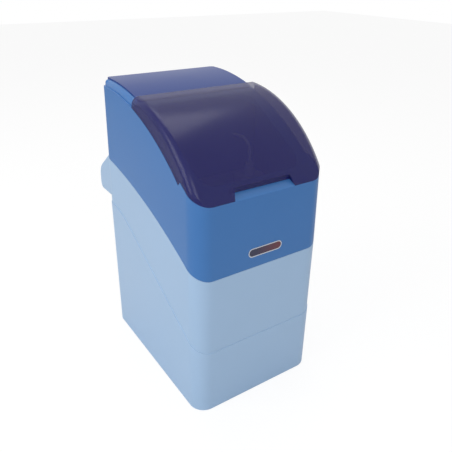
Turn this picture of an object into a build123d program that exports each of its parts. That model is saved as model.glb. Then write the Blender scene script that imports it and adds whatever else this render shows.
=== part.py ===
from build123d import *
import math
import os

# Compact water softener for block salt, with two resin tanks and a water-driven valve.
# All lengths are in millimetres. The origin is the middle of the footprint on the floor,
# +Z is up and the front faces -Y. A "depth" is measured backwards from the front face.

# Cabinet
body_width = 234.0
body_depth = 309.0
front_corner_radius = 28.0
rear_corner_radius = 14.0
wall = 3.0
floor_thickness = 3.5
base_draft = 3.6
housing_draft = 0.8
front_split_height = 240.0
split_rise = 101.0
front_crease_height = 112.0
crease_rise = 145.0
skirt_proud = 1.0
lap_depth = 12.0
lap_thickness = 2.0
lap_gap = 0.3
overrun = 20.0

# Roll-top: the tracks, the deck and the rear cover are concentric about one axis along X
front_rim_height = 355.6
deck_top_height = 477.0
track_radius = 377.0
deck_rise = 9.0
seam_rise = 8.0
roll_axis_inset = 15.0
track_step_depth = 48.16
lid_rear_angle = 16.0
track_step_in = 3.6
deck_shoulder_radius = 9.0
lid_gap = 0.35

# Salt lid
lid_wall = 2.6
lid_front_lift = 0.15
lid_crest_rise = 24.53
lid_crest_angle = 31.85
lid_rear_rise = 11.16
lid_shoulder_radius = 11.0
lid_side_inset = 0.8
scoop_top_width = 99.0
scoop_bottom_width = 108.0
scoop_rise = 16.4
scoop_depth = 12.0

# Compartments
tank_divider_gap = 13.0
meter_divider_gap = 8.0
salt_opening_side = 28.0
salt_opening_front = 27.0
salt_opening_back = 11.0
salt_opening_corner = 22.0
valve_opening_side = 21.0
valve_opening_lead = 14.0
valve_opening_back = 12.0
valve_opening_corner = 10.0
opening_lip_wall = 2.5
opening_lip_drop = 8.0

# Hose cowl across the back
cowl_reach = 40.0
cowl_below_split = 2.0
cowl_height = 70.0
cowl_edge_drop = 31.0
cowl_top_corner = 16.0
cowl_bottom_corner = 11.0
cowl_side_inset = 1.4
cowl_end_wall = 14.0

# Resin tanks and valve
tank_side_room = 8.5
tank_gap = 8.0
tank_rear_room = 10.0
tank_dome = 18.0
neck_radius = 20.0
neck_height = 14.0
neck_room = 6.0
port_below_cowl_top = 39.0
port_spacing = 76.0
turret_radius = 37.0
flange_margin = 7.0
turret_rear_gap = 4.0
meter_radius = 18.0
meter_span = 49.0
brine_port_gap = 10.0
gear_module = 1.5
control_teeth = 36
idler_teeth = 18
pinion_teeth = 12
running_clearance = 0.05
seat_gap = 0.3

# Brine side
well_radius = 24.0
well_wall = 2.0
well_from_side = 39.0
well_before_divider = 35.0
well_above_port = 18.0
tube_radius = 3.175

centre_min = (Align.CENTER, Align.CENTER, Align.MIN)
half_width = body_width / 2
front_y = -body_depth / 2
rear_y = body_depth / 2

# Places that follow from the driving sizes
roll_axis_depth = body_depth - roll_axis_inset
deck_radius = track_radius + deck_rise
seam_radius = track_radius + seam_rise
roll_axis_height = deck_top_height - deck_radius
track_front_angle = math.degrees(math.asin((roll_axis_depth - track_step_depth) / track_radius))
scoop_height = front_rim_height + scoop_rise
tank_radius = body_width / 4 - tank_side_room
tank_spacing = 2 * tank_radius + tank_gap
tank_axis_depth = body_depth - wall - tank_rear_room - tank_radius
turret_depth = body_depth - wall - turret_rear_gap - turret_radius - flange_margin
meter_depth = turret_depth - meter_span
tank_front_room = tank_axis_depth - tank_radius - tank_divider_gap
divider_depth = min(tank_front_room, meter_depth - meter_radius - meter_divider_gap)
salt_opening_half_width = half_width - salt_opening_side
salt_opening_rear = divider_depth - salt_opening_back
valve_opening_half_width = half_width - valve_opening_side
valve_opening_front = divider_depth + valve_opening_lead
valve_opening_rear = body_depth - valve_opening_back
cowl_top = front_split_height + split_rise - cowl_below_split
cowl_bottom = cowl_top - cowl_height
port_height = cowl_top - port_below_cowl_top
tank_shoulder_height = port_height - neck_room - neck_height - tank_dome
brine_port_x = turret_radius + flange_margin + brine_port_gap
well_x = half_width - well_from_side
well_depth = divider_depth - well_before_divider
well_top = port_height + well_above_port
roll_y = front_y + roll_axis_depth
tank_y = front_y + tank_axis_depth
turret_y = front_y + turret_depth
well_y = front_y + well_depth
cabinet_top = deck_top_height + track_radius / 4

parts = {}


def upright(x, y, low, high, radius):
    """Vertical cylinder from one height to another."""
    return Pos(x, y, low) * Cylinder(radius, high - low, align=centre_min)


def pipe(x, y, low, high, outer, inner):
    """Vertical tube open at both ends."""
    return upright(x, y, low, high, outer) - upright(x, y, low - overrun, high + overrun, inner)


def block(x_low, x_high, y_low, y_high, z_low, z_high):
    """Box between two opposite corners."""
    size = Box(x_high - x_low, y_high - y_low, z_high - z_low)
    return Pos((x_low + x_high) / 2, (y_low + y_high) / 2, (z_low + z_high) / 2) * size


def across(edges, half_length=body_width):
    """Solid across the cabinet whose side view is the closed line of edges, in (y, z)."""
    return extrude(Plane.YZ.offset(-half_length) * make_face(edges), amount=2 * half_length)


def around_roll_axis(radius, angle):
    """Point (y, z) at a radius and a forward angle, in degrees, about the roll axis."""
    turn = math.radians(angle)
    return (roll_y - radius * math.sin(turn), roll_axis_height + radius * math.cos(turn))


def drum(radius, half_length, y, z, shoulder):
    """Cylinder along X with rounded rims."""
    cylinder = Pos(0, y, z) * Rot(0, 90, 0) * Cylinder(radius, 2 * half_length)
    return fillet(cylinder.edges().filter_by(GeomType.CIRCLE), shoulder)


def plan(inset):
    """Outline of the cabinet seen from above, drawn in from the widest line."""
    outline = Rectangle(body_width - 2 * inset, body_depth - 2 * inset)
    outline = fillet(outline.vertices().sort_by(Axis.Y)[:2], front_corner_radius - inset)
    return fillet(outline.vertices().sort_by(Axis.Y)[-2:], rear_corner_radius - inset)


def envelope(inset):
    """The whole cabinet block: it leans in to the floor and, less, to the top."""
    lower_taper = -math.degrees(math.atan(base_draft / front_split_height))
    lower = extrude(plan(inset + base_draft), amount=front_split_height, taper=lower_taper)
    upper_height = cabinet_top - front_split_height
    upper_taper = math.degrees(math.atan(housing_draft / front_split_height))
    upper = extrude(Pos(0, 0, front_split_height) * plan(inset), amount=upper_height, taper=upper_taper)
    return lower + upper


# The colour line and the crease are level round the front and climb along the sides.
# The colour line is one long arc; the crease is straight and then levels off at a knee.
split_middle_share = 0.668
crease_knee_depth_share = 0.725
crease_knee_rise_share = 0.862


def under_line(edges):
    """Everything below a side line, given as edges in (y, z) from front to rear."""
    first = edges[0] @ 0
    last = edges[-1] @ 1
    far_front = first.X - overrun
    far_rear = last.X + 2 * cowl_reach
    outline = [
        *edges,
        Line(last, (far_rear, last.Y)),
        Line((far_rear, last.Y), (far_rear, -overrun)),
        Line((far_rear, -overrun), (far_front, -overrun)),
        Line((far_front, -overrun), (far_front, first.Y)),
        Line((far_front, first.Y), first),
    ]
    return across(outline)


def below_split(shift=0.0):
    """Everything below the colour line, moved up or down by a shift."""
    low = front_split_height + shift
    middle = (0, low + split_middle_share * split_rise)
    return under_line([ThreePointArc((front_y, low), middle, (rear_y, low + split_rise))])


def below_crease():
    front = (front_y, front_crease_height)
    knee_y = front_y + crease_knee_depth_share * body_depth
    knee = (knee_y, front_crease_height + crease_knee_rise_share * crease_rise)
    straight = Line(front, knee)
    rear = (rear_y, front_crease_height + crease_rise)
    return under_line([straight, TangentArc(knee, rear, tangent=straight % 1)])


def under_track(offset):
    """Everything below the lid's seam: the track along each side, its stop and the front rim."""
    rear_angle = -lid_rear_angle
    middle_angle = (rear_angle + track_front_angle) / 2
    rear = around_roll_axis(track_radius + offset, rear_angle)
    middle = around_roll_axis(track_radius + offset, middle_angle)
    front = around_roll_axis(track_radius + offset, track_front_angle)
    step = around_roll_axis(seam_radius + offset, track_front_angle)
    rim = (front_y, front_rim_height + offset)
    far_front = front_y - overrun
    outline = [
        ThreePointArc(rear, middle, front),
        Line(front, step),
        Line(step, rim),
        Line(rim, (far_front, rim[1])),
        Line((far_front, rim[1]), (far_front, 0)),
        Line((far_front, 0), (rear[0], 0)),
        Line((rear[0], 0), rear),
    ]
    return across(outline)


# Salt lid: a crowned shell that rides on the side tracks and lifts over the rear cover
lid_half_width = half_width - lid_side_inset


def lid_region():
    """Where the lid may be: above its seam and in front of its rear edge."""
    near = around_roll_axis(track_radius / 2, lid_rear_angle)
    far = around_roll_axis(2 * track_radius, lid_rear_angle)
    far_front = front_y - body_depth
    top = far[1]
    wedge = [
        Line(near, far),
        Line(far, (far_front, top)),
        Line((far_front, top), (far_front, near[1])),
        Line((far_front, near[1]), near),
    ]
    return across(wedge) - under_track(lid_gap)


def scoop_prism(margin):
    """Trapezoid finger recess in the front edge, grown by a margin."""
    half_top = scoop_top_width / 2 + margin
    half_bottom = scoop_bottom_width / 2 + margin
    top = scoop_height + margin
    flare = (half_bottom - half_top) / (scoop_height - front_rim_height)
    low = front_rim_height - overrun
    half_low = half_top + flare * (top - low)
    shape = Polyline((-half_low, low), (half_low, low), (half_top, top), (-half_top, top), (-half_low, low))
    face = make_face(shape)
    back = front_y + scoop_depth + margin
    return extrude(Pos(0, back, 0) * (Plane.XZ * face), amount=scoop_depth + overrun)


def circle_through(first, second, third):
    """Centre (y, z) and radius of the circle through three points."""
    chord_y = second[0] - first[0]
    chord_z = second[1] - first[1]
    span_y = third[0] - first[0]
    span_z = third[1] - first[1]
    chord_square = chord_y**2 + chord_z**2
    span_square = span_y**2 + span_z**2
    twice_area = 2 * (chord_y * span_z - chord_z * span_y)
    centre_y = (span_z * chord_square - chord_z * span_square) / twice_area
    centre_z = (chord_y * span_square - span_y * chord_square) / twice_area
    return first[0] + centre_y, first[1] + centre_z, math.hypot(centre_y, centre_z)


def make_salt_lid():
    lip = (front_y, front_rim_height + lid_front_lift)
    crest = around_roll_axis(seam_radius + lid_crest_rise, lid_crest_angle)
    rear_edge = around_roll_axis(seam_radius + lid_rear_rise, lid_rear_angle)
    crown_y, lid_crown_height, lid_crown_radius = circle_through(lip, crest, rear_edge)
    region = lid_region()
    outer = drum(lid_crown_radius, lid_half_width, crown_y, lid_crown_height, lid_shoulder_radius)
    outer = (outer & envelope(0)) & region
    inner_shoulder = lid_shoulder_radius - lid_wall
    inner_radius = lid_crown_radius - lid_wall
    inner = drum(inner_radius, lid_half_width - lid_wall, crown_y, lid_crown_height, inner_shoulder)
    inner = inner & envelope(lid_wall)
    shell = outer - inner
    recess = scoop_prism(0)
    pocket = (scoop_prism(lid_wall) & outer) - recess
    return (shell - recess) + pocket


parts["salt_lid"] = make_salt_lid()


# Upper housing: side walls, the joggle for the lid, the curved deck and its two openings
def housing_block(inset, radial):
    """The housing's outside, or its inside when both values are a wall thickness."""
    lower = envelope(inset) & under_track(-radial)
    step_in = track_step_in + inset
    shoulder = deck_shoulder_radius - inset
    deck = drum(deck_radius - radial, half_width - step_in, roll_y, roll_axis_height, shoulder)
    return lower + (deck & envelope(step_in))


def opening_outline(half_length, front, rear, corner, grow=0.0):
    """Rounded opening in the deck, seen from above."""
    length = rear - front + 2 * grow
    outline = RectangleRounded(2 * (half_length + grow), length, corner + grow)
    return Pos(0, front_y + (front + rear) / 2, 0) * outline


def deck_opening(half_length, front, rear, corner, grow=0.0):
    outline = opening_outline(half_length, front, rear, corner, grow)
    face = Pos(0, 0, front_split_height + split_rise) * outline
    return extrude(face, amount=cabinet_top)


salt_opening = (salt_opening_half_width, salt_opening_front, salt_opening_rear, salt_opening_corner)
valve_opening = (valve_opening_half_width, valve_opening_front, valve_opening_rear, valve_opening_corner)
line_above_port = 85.0
line_pass_height = port_height + line_above_port
line_pass_radius = 5.5
line_start_y = well_y
line_end_y = tank_y
line_share = (front_y + divider_depth + wall / 2 - line_start_y) / (line_end_y - line_start_y)
line_pass_x = well_x + line_share * (brine_port_x - well_x)
badge_width = 62.0
badge_height = 14.5
badge_centre_x = 2.0
badge_above_split = 26.0
badge_centre_height = front_split_height + badge_above_split
badge_pocket = 0.6
badge_pocket_gap = 0.15


def badge_outline(margin):
    return SlotOverall(badge_width + 2 * margin, badge_height + 2 * margin)


def on_front(face, behind, thickness):
    """Extrude a face drawn on the front wall, from a depth behind it towards the viewer."""
    place = Pos(badge_centre_x, front_y + behind, badge_centre_height)
    return extrude(place * (Plane.XZ * face), amount=thickness)


def divider_slab():
    """The wall between the salt compartment and the valve compartment, full height."""
    slab_front = front_y + divider_depth
    return block(-body_width, body_width, slab_front, slab_front + wall, -overrun, cabinet_top)


def make_upper_housing():
    inside = housing_block(wall, wall) - divider_slab()
    shell = (housing_block(0, 0) - inside) - below_split()
    for opening in (salt_opening, valve_opening):
        lip = deck_opening(*opening, grow=opening_lip_wall)
        lip_band = drum(deck_radius - wall / 2, half_width, roll_y, roll_axis_height, wall)
        lip_floor = deck_radius - wall - opening_lip_drop
        lip_band -= drum(lip_floor, half_width + overrun, roll_y, roll_axis_height, wall)
        shell += (lip & lip_band) & housing_block(wall / 2, wall / 2)
        shell -= deck_opening(*opening)
    lap_outside = wall + lap_gap
    lap = envelope(lap_outside) - envelope(lap_outside + lap_thickness)
    shell += (lap & below_split(wall)) - below_split(-lap_depth)
    line_pass = Pos(line_pass_x, front_y + divider_depth, line_pass_height) * Rot(90, 0, 0)
    shell -= line_pass * Cylinder(line_pass_radius, overrun)
    shell -= on_front(badge_outline(badge_pocket_gap), badge_pocket, wall)
    return shell


parts["upper_housing"] = make_upper_housing()


# Rear cover: a curved panel on the deck over the valve, with a rim inside the opening
cover_side_lap = 9.0
cover_half_width = valve_opening_half_width + cover_side_lap
cover_front = divider_depth + wall
cover_thickness = 2.6
cover_back_drop = 28.0
cover_rim_wall = 2.0
cover_rim_gap = 0.5
cover_rim_drop = 9.0
cover_corner = 6.0
cover_flange_corner = 9.0
cover_screw_from_side = 35.0
cover_screw_x = cover_half_width - cover_screw_from_side
cover_screw_radius = 2.0
cover_screw_head_radius = 4.2
cover_screw_head_height = 2.2
cover_screw_length = 9.0
cover_back_y = rear_y - housing_draft + seat_gap
cover_back_top = roll_axis_height + deck_radius
cover_screw_height = cover_back_top - cover_back_drop / 2


def through_back(x, height, y_low, y_high, radius):
    """Cylinder along Y, front to back."""
    middle = Pos(x, (y_low + y_high) / 2, height) * Rot(90, 0, 0)
    return middle * Cylinder(radius, y_high - y_low)


def make_rear_cover():
    rear = cover_back_y + cover_thickness
    front = front_y + cover_front
    ring_outer = drum(deck_radius + cover_thickness, half_width, roll_y, roll_axis_height, wall)
    ring_inner = drum(deck_radius, half_width + overrun, roll_y, roll_axis_height, wall)
    outline = RectangleRounded(2 * cover_half_width, rear - front, cover_corner)
    column = extrude(Pos(0, (front + rear) / 2, roll_axis_height) * outline, amount=cabinet_top)
    panel = (column & ring_outer) - ring_inner
    flange_face = RectangleRounded(2 * cover_half_width, 2 * cover_back_drop, cover_flange_corner)
    flange = extrude(Pos(0, rear, cover_back_top) * (Plane.XZ * flange_face), amount=rear - cover_back_y)
    flange = (flange & ring_outer) & column
    rim_outer = deck_opening(*valve_opening, grow=-cover_rim_gap)
    rim_inner = deck_opening(*valve_opening, grow=-cover_rim_gap - cover_rim_wall)
    rim_top = drum(deck_radius + cover_thickness / 2, half_width, roll_y, roll_axis_height, wall)
    rim_floor = drum(deck_radius - cover_rim_drop, half_width + overrun, roll_y, roll_axis_height, wall)
    rim = ((rim_outer - rim_inner) & rim_top) - rim_floor
    cover = panel + flange + rim
    for side in (-1, 1):
        x = side * cover_screw_x
        hole_low = cover_back_y - cover_thickness
        cover -= through_back(x, cover_screw_height, hole_low, rear + overrun, cover_screw_radius + lap_gap)
    return cover


def make_cover_screws():
    head_y = cover_back_y + cover_thickness
    screws = []
    for side in (-1, 1):
        x = side * cover_screw_x
        shank = through_back(x, cover_screw_height, head_y - cover_screw_length, head_y, cover_screw_radius)
        head_end = head_y + cover_screw_head_height
        head = through_back(x, cover_screw_height, head_y, head_end, cover_screw_head_radius)
        screws.append(shank + head)
    return Compound(children=screws)


parts["rear_cover"] = make_rear_cover()
parts["cover_screws"] = make_cover_screws()
for side in (-1, 1):
    parts["upper_housing"] -= through_back(
        side * cover_screw_x,
        cover_screw_height,
        rear_y - wall - cover_screw_length,
        rear_y + wall,
        cover_screw_radius + 2 * running_clearance,
    )

# Badge: a bright rim round a plain plate, both let into the front wall
badge_rim_width = 1.5
badge_rim_proud = 1.0
badge_plate_proud = 0.6
parts["badge_rim"] = on_front(
    badge_outline(0) - badge_outline(-badge_rim_width), badge_pocket, badge_pocket + badge_rim_proud
)
parts["badge_plate"] = on_front(
    badge_outline(-badge_rim_width - running_clearance), badge_pocket, badge_pocket + badge_plate_proud
)

# Base cabinet: the tub with its divider, hose cowl, tank rings and outlets
ring_wall = 3.0
ring_height = 12.0
ring_gap = 0.4
adapter_hole_radius = 12.0
drain_hole_radius = 6.5
drain_height = port_height
overflow_from_side = 33.0
overflow_below_port = 6.0
overflow_x = half_width - overflow_from_side
overflow_height = port_height - overflow_below_port
overflow_hole_radius = 9.5
weir_width = 20.0
cowl_mouth_gap = 0.6
divider_top_gap = 0.5


def cowl_profile(offset, extra_drop=0.0):
    """Side view of the hose cowl, drawn in by an offset, in (y, z)."""
    back = rear_y + cowl_reach - offset
    inside = rear_y - rear_corner_radius
    low = cowl_bottom + offset - extra_drop
    slope = cowl_edge_drop / cowl_reach
    edge_z = cowl_top - cowl_edge_drop - offset + slope * offset
    inner_z = edge_z + slope * (back - inside)
    outline = Polyline((inside, low), (back, low), (back, edge_z), (inside, inner_z), (inside, low))
    face = make_face(outline)
    corners = face.vertices().sort_by(Axis.X)[-2:].sort_by(Axis.Y)
    face = fillet(corners[1], cowl_top_corner - offset)
    corners = face.vertices().filter_by(lambda v: abs(v.Y - low) < offset / 2 + wall / 2)
    return fillet(corners.sort_by(Axis.X)[-1], cowl_bottom_corner - offset)


def cowl_bar(offset, half_length):
    return extrude(Plane.YZ.offset(-half_length) * cowl_profile(offset), amount=2 * half_length)


def make_base_cabinet():
    split = below_split()
    outside = (envelope(0) & split) + (envelope(-skirt_proud) & below_crease())
    cowl_half = half_width - cowl_side_inset
    outside += cowl_bar(0, cowl_half) & split
    floor = block(-body_width, body_width, -body_depth, body_depth, -overrun, floor_thickness)
    cavity = envelope(wall) - floor - divider_slab()
    tub = outside - cavity
    throat_half = cowl_half - cowl_end_wall
    throat = cowl_bar(wall, throat_half) & block(
        -throat_half, throat_half, rear_y + cowl_mouth_gap, rear_y + cowl_reach, 0, cowl_top
    )
    mouth = block(
        -throat_half,
        throat_half,
        rear_y + cowl_mouth_gap,
        rear_y + cowl_reach - wall,
        cowl_bottom - wall,
        cowl_bottom + cowl_bottom_corner,
    )
    tub -= throat + mouth
    lap_room = envelope(wall) - envelope(wall + 2 * lap_gap + lap_thickness)
    tub -= lap_room - below_split(-lap_depth - divider_top_gap)
    tub -= block(
        overflow_x - weir_width / 2,
        overflow_x + weir_width / 2,
        front_y + divider_depth - wall,
        front_y + divider_depth + 2 * wall,
        overflow_height,
        cabinet_top,
    )
    for side in (-1, 1):
        x = side * tank_spacing / 2
        inner = tank_radius + ring_gap
        ring_top = floor_thickness + ring_height
        tub += pipe(x, tank_y, floor_thickness / 2, ring_top, inner + ring_wall, inner)
        x = side * port_spacing / 2
        tub -= through_back(x, port_height, rear_y - 2 * wall, rear_y + wall, adapter_hole_radius)
    inner = well_radius + ring_gap
    tub += pipe(well_x, well_y, floor_thickness / 2, floor_thickness + ring_height, inner + ring_wall, inner)
    tub -= through_back(0, drain_height, rear_y - 2 * wall, rear_y + wall, drain_hole_radius)
    tub -= through_back(overflow_x, overflow_height, rear_y - 2 * wall, rear_y + wall, overflow_hole_radius)
    return tub


parts["base_cabinet"] = make_base_cabinet()

# Resin tanks: hollow bottles on moulded feet, each with its bed, riser tube and distributor
tank_wall = 3.0
neck_bore = 15.0
bed_gap = 0.3
bed_below_shoulder = 32.0
bed_height = tank_shoulder_height - bed_below_shoulder
riser_radius = 6.0
riser_bore = 4.6
distributor_radius = 16.0
distributor_height = 22.0
distributor_slots = 12
distributor_slot_width = 1.2
dome_rim_radius = 12.0


def bottle(radius, low, shoulder, dome, neck, top):
    """Revolved bottle outline, solid."""
    side = shoulder
    outline = Polyline(
        (0, low),
        (radius, low),
        (radius, side),
        (neck, side + dome),
        (neck, top),
        (0, top),
        (0, low),
    )
    face = make_face(outline)
    lower_corner = face.vertices().filter_by(lambda v: abs(v.X - radius) < tank_wall / 4)
    face = fillet(lower_corner, dome_rim_radius)
    return revolve(Plane.XZ * face, Axis.Z)


def make_tank(x):
    top = tank_shoulder_height + tank_dome + neck_height
    outer = bottle(
        tank_radius, floor_thickness, tank_shoulder_height, tank_dome, neck_radius, top
    )
    inner = bottle(
        tank_radius - tank_wall,
        floor_thickness + tank_wall,
        tank_shoulder_height - tank_wall,
        tank_dome,
        neck_bore,
        top + overrun,
    )
    return Pos(x, tank_y, 0) * (outer - inner)


def make_resin_bed(x):
    inside = tank_radius - tank_wall - bed_gap
    low = floor_thickness + tank_wall + bed_gap
    bed = fillet(upright(x, tank_y, low, bed_height, inside).edges().group_by(Axis.Z)[0], dome_rim_radius)
    core = distributor_radius + bed_gap
    core_top = low + distributor_height + bed_gap
    bed -= upright(x, tank_y, low - overrun, core_top, core)
    return bed - upright(x, tank_y, low, bed_height + overrun, riser_radius + bed_gap)


def make_riser(x):
    low = floor_thickness + tank_wall + distributor_height
    top = tank_shoulder_height + tank_dome + neck_height
    return pipe(x, tank_y, low, top, riser_radius, riser_bore)


def make_distributor(x):
    low = floor_thickness + tank_wall
    body = upright(x, tank_y, low, low + distributor_height, distributor_radius)
    body = fillet(body.edges().group_by(Axis.Z)[-1], distributor_radius / 4)
    hollow_top = low + distributor_height - tank_wall
    body -= upright(x, tank_y, low + tank_wall, hollow_top, distributor_radius - tank_wall)
    body -= upright(x, tank_y, hollow_top - tank_wall, hollow_top + overrun, riser_bore)
    slot = block(
        0,
        2 * distributor_radius,
        -distributor_slot_width / 2,
        distributor_slot_width / 2,
        low + 2 * tank_wall,
        hollow_top - tank_wall,
    )
    for turn in range(distributor_slots):
        body -= Pos(x, tank_y, 0) * Rot(0, 0, turn * 360 / distributor_slots) * slot
    return body


for side, name in ((-1, "left"), (1, "right")):
    tank_x = side * tank_spacing / 2
    parts["resin_tank_" + name] = make_tank(tank_x)
    parts["resin_bed_" + name] = make_resin_bed(tank_x)
    parts["riser_tube_" + name] = make_riser(tank_x)
    parts["distributor_" + name] = make_distributor(tank_x)

# Valve manifold: sockets on the two necks, a turret for the control disc, a chamber for the
# turbine, and the inlet, outlet and drain ports towards the back
socket_radius = 27.0
socket_above_port = 22.0
socket_top = port_height + socket_above_port
socket_clearance = 0.2
crossbar_radius = 15.0
manifold_bottom = port_height - crossbar_radius
turret_wall = 4.5
turret_bore = turret_radius - turret_wall
turret_floor_above_port = 16.0
turret_floor = port_height + turret_floor_above_port
turret_bore_depth = 24.0
turret_top = turret_floor + turret_bore_depth
meter_wall = 3.5
meter_bore = meter_radius - meter_wall
meter_floor_above_port = 10.0
meter_floor = port_height + meter_floor_above_port
meter_bottom = port_height
port_radius = 15.0
port_bore = 11.0
port_end_inset = 19.0
port_end = body_depth - port_end_inset
port_socket_depth = 16.0
drain_port_reach = 3.0
waterway_radius = 6.0
drain_port_radius = 9.0
drain_bore = 4.0
brine_port_radius = 7.0
brine_port_rise = 12.0
brine_port_top = socket_top + brine_port_rise
clip_slot_width = 3.0
clip_slot_back = 8.0
seal_section = 1.2
flange_thickness = 5.0
cap_thickness = 5.0
shaft_radius = 4.0
meter_y = front_y + meter_depth
drain_port_y = turret_y + turret_radius + drain_port_reach
flange_low = turret_top - flange_thickness
cap_top = turret_top + cap_thickness

# Gear train: the turbine's pinion turns the idler, and the idler turns the control gear
control_pitch = gear_module * control_teeth / 2
idler_pitch = gear_module * idler_teeth / 2
pinion_pitch = gear_module * pinion_teeth / 2
first_centres = control_pitch + idler_pitch
second_centres = idler_pitch + pinion_pitch
idler_cosine = (first_centres**2 + meter_span**2 - second_centres**2) / (2 * first_centres * meter_span)
idler_turn = math.acos(idler_cosine)
idler_x = first_centres * math.sin(idler_turn)
idler_y = turret_y - first_centres * math.cos(idler_turn)
control_to_idler = math.degrees(math.atan2(idler_y - turret_y, idler_x))
idler_to_pinion = math.degrees(math.atan2(meter_y - idler_y, -idler_x))
idler_pitch_turn = 360 / idler_teeth
pinion_pitch_turn = 360 / pinion_teeth
control_phase = control_to_idler
idler_phase = control_to_idler + 180 + idler_pitch_turn / 2
idler_lead = (idler_phase - idler_to_pinion) % idler_pitch_turn
pinion_phase = idler_to_pinion + 180 - idler_lead * idler_teeth / pinion_teeth + pinion_pitch_turn / 2


def flange_outline(margin):
    """Outline of the cap and its seat: round the turret, running out over the meter."""
    turret = Pos(0, turret_y, 0) * Circle(turret_radius + margin)
    meter = Pos(0, meter_y, 0) * Circle(meter_radius + margin / 2)
    neck_half = meter_radius + margin / 2
    neck = Pos(0, (turret_y + meter_y) / 2, 0) * Rectangle(2 * neck_half, turret_y - meter_y)
    return turret + meter + neck


def make_manifold():
    seat_low = tank_shoulder_height + tank_dome
    body = Pos(0, 0, flange_low) * extrude(flange_outline(flange_margin), amount=flange_thickness)
    body += upright(0, turret_y, manifold_bottom, turret_top, turret_radius)
    body += upright(0, meter_y, meter_bottom, turret_top, meter_radius)
    bar_height = meter_bottom
    bar = Pos(0, tank_y, bar_height) * Rot(0, 90, 0) * Cylinder(crossbar_radius, tank_spacing)
    body += bar
    for side in (-1, 1):
        x = side * tank_spacing / 2
        body += upright(x, tank_y, seat_low + seat_gap, socket_top, socket_radius)
        port_x = side * port_spacing / 2
        body += through_back(port_x, port_height, tank_y, front_y + port_end, port_radius)
    body += through_back(0, drain_height, turret_y, drain_port_y, drain_port_radius)
    body += upright(brine_port_x, tank_y, socket_top - wall, brine_port_top, brine_port_radius)
    neck_top = seat_low + neck_height
    for side in (-1, 1):
        x = side * tank_spacing / 2
        body -= upright(x, tank_y, seat_low - overrun, neck_top + seat_gap, neck_radius + socket_clearance)
        port_x = side * port_spacing / 2
        socket_start = front_y + port_end - port_socket_depth
        body -= through_back(port_x, port_height, socket_start, front_y + port_end + wall, port_bore)
        body -= through_back(port_x, port_height, tank_y, socket_start + wall, waterway_radius)
        slot_y = front_y + port_end - clip_slot_back
        body -= block(
            port_x - port_radius - wall,
            port_x + port_radius + wall,
            slot_y - clip_slot_width / 2,
            slot_y + clip_slot_width / 2,
            port_height + port_bore - seal_section,
            port_height + port_radius + overrun / 4,
        )
    body -= upright(0, turret_y, turret_floor, turret_top + overrun, turret_bore)
    body -= upright(0, meter_y, meter_floor, turret_top + overrun, meter_bore)
    body -= through_back(0, drain_height, turret_y, drain_port_y + wall, drain_bore)
    body -= upright(brine_port_x, tank_y, socket_top - wall, brine_port_top + wall, tube_radius)
    return body


screw_radius = 2.0
screw_head_radius = 3.6
screw_head_height = 3.0
screw_depth = 4.0
screw_turns = (60, 120, 180, 0, 240)
screw_circle = turret_radius + flange_margin / 2


def screw_places():
    """Screws round the turret flange, and one on each side of the meter."""
    places = []
    for turn in screw_turns:
        angle = math.radians(turn)
        places.append((screw_circle * math.cos(angle), turret_y + screw_circle * math.sin(angle)))
    return places


def make_valve_screws():
    screws = []
    for x, y in screw_places():
        shank = upright(x, y, cap_top - cap_thickness - screw_depth, cap_top, screw_radius)
        head = upright(x, y, cap_top, cap_top + screw_head_height, screw_head_radius)
        socket = Pos(x, y, cap_top + screw_head_height / 2) * extrude(
            RegularPolygon(screw_radius, 6), amount=screw_head_height
        )
        screws.append(shank + head - socket)
    return Compound(children=screws)


boss_height = 1.5
boss_margin = 3.0
turbine_shaft_radius = 2.0
gear_thickness = 5.0
pin_radius = 3.0
gear_low = cap_top + boss_height + seat_gap
gear_top = gear_low + gear_thickness
pin_top = gear_top + seat_gap + 2 * boss_height


def make_valve_cap():
    cap = Pos(0, 0, turret_top) * extrude(flange_outline(flange_margin), amount=cap_thickness)
    cap += upright(0, turret_y, turret_top, cap_top + boss_height, shaft_radius + boss_margin)
    cap += upright(idler_x, idler_y, turret_top, cap_top + boss_height, pin_radius + boss_margin)
    cap += upright(idler_x, idler_y, turret_top, pin_top, pin_radius)
    cap += upright(0, meter_y, turret_top, cap_top + boss_height, turbine_shaft_radius + boss_margin)
    hole = shaft_radius + running_clearance
    cap -= upright(0, turret_y, turret_top - overrun, cap_top + overrun, hole)
    hole = turbine_shaft_radius + running_clearance
    cap -= upright(0, meter_y, turret_top - overrun, cap_top + overrun, hole)
    for x, y in screw_places():
        cap -= upright(x, y, turret_top - overrun, cap_top + overrun, screw_radius + running_clearance)
    return cap


turbine_blades = 8
turbine_blade_thickness = 1.4
turbine_radius = 13.0
turbine_hub_radius = 4.5
turbine_lift = 6.0
turbine_low = meter_floor + turbine_lift
turbine_height = 12.0
turbine_foot = 3.0

# Tooth form as shares of the module and of the tooth spacing
addendum_share = 0.8
dedendum_share = 1.15
root_width_share = 0.56
pitch_width_share = 0.42
tip_width_share = 0.24


def gear(x, y, teeth, phase, low, high):
    """Spur gear with straight-flanked teeth; the first tooth points along the phase angle."""
    pitch = gear_module * teeth / 2
    tip = pitch + addendum_share * gear_module
    root = pitch - dedendum_share * gear_module
    spacing = 360 / teeth
    outline = []
    for tooth in range(teeth):
        middle = phase + tooth * spacing
        corners = (
            (root, -root_width_share / 2),
            (pitch, -pitch_width_share / 2),
            (tip, -tip_width_share / 2),
            (tip, tip_width_share / 2),
            (pitch, pitch_width_share / 2),
            (root, root_width_share / 2),
        )
        for radius, share in corners:
            angle = math.radians(middle + share * spacing)
            outline.append((radius * math.cos(angle), radius * math.sin(angle)))
    face = make_face(Polyline(*outline, close=True))
    return Pos(x, y, low) * extrude(face, amount=high - low)


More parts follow.
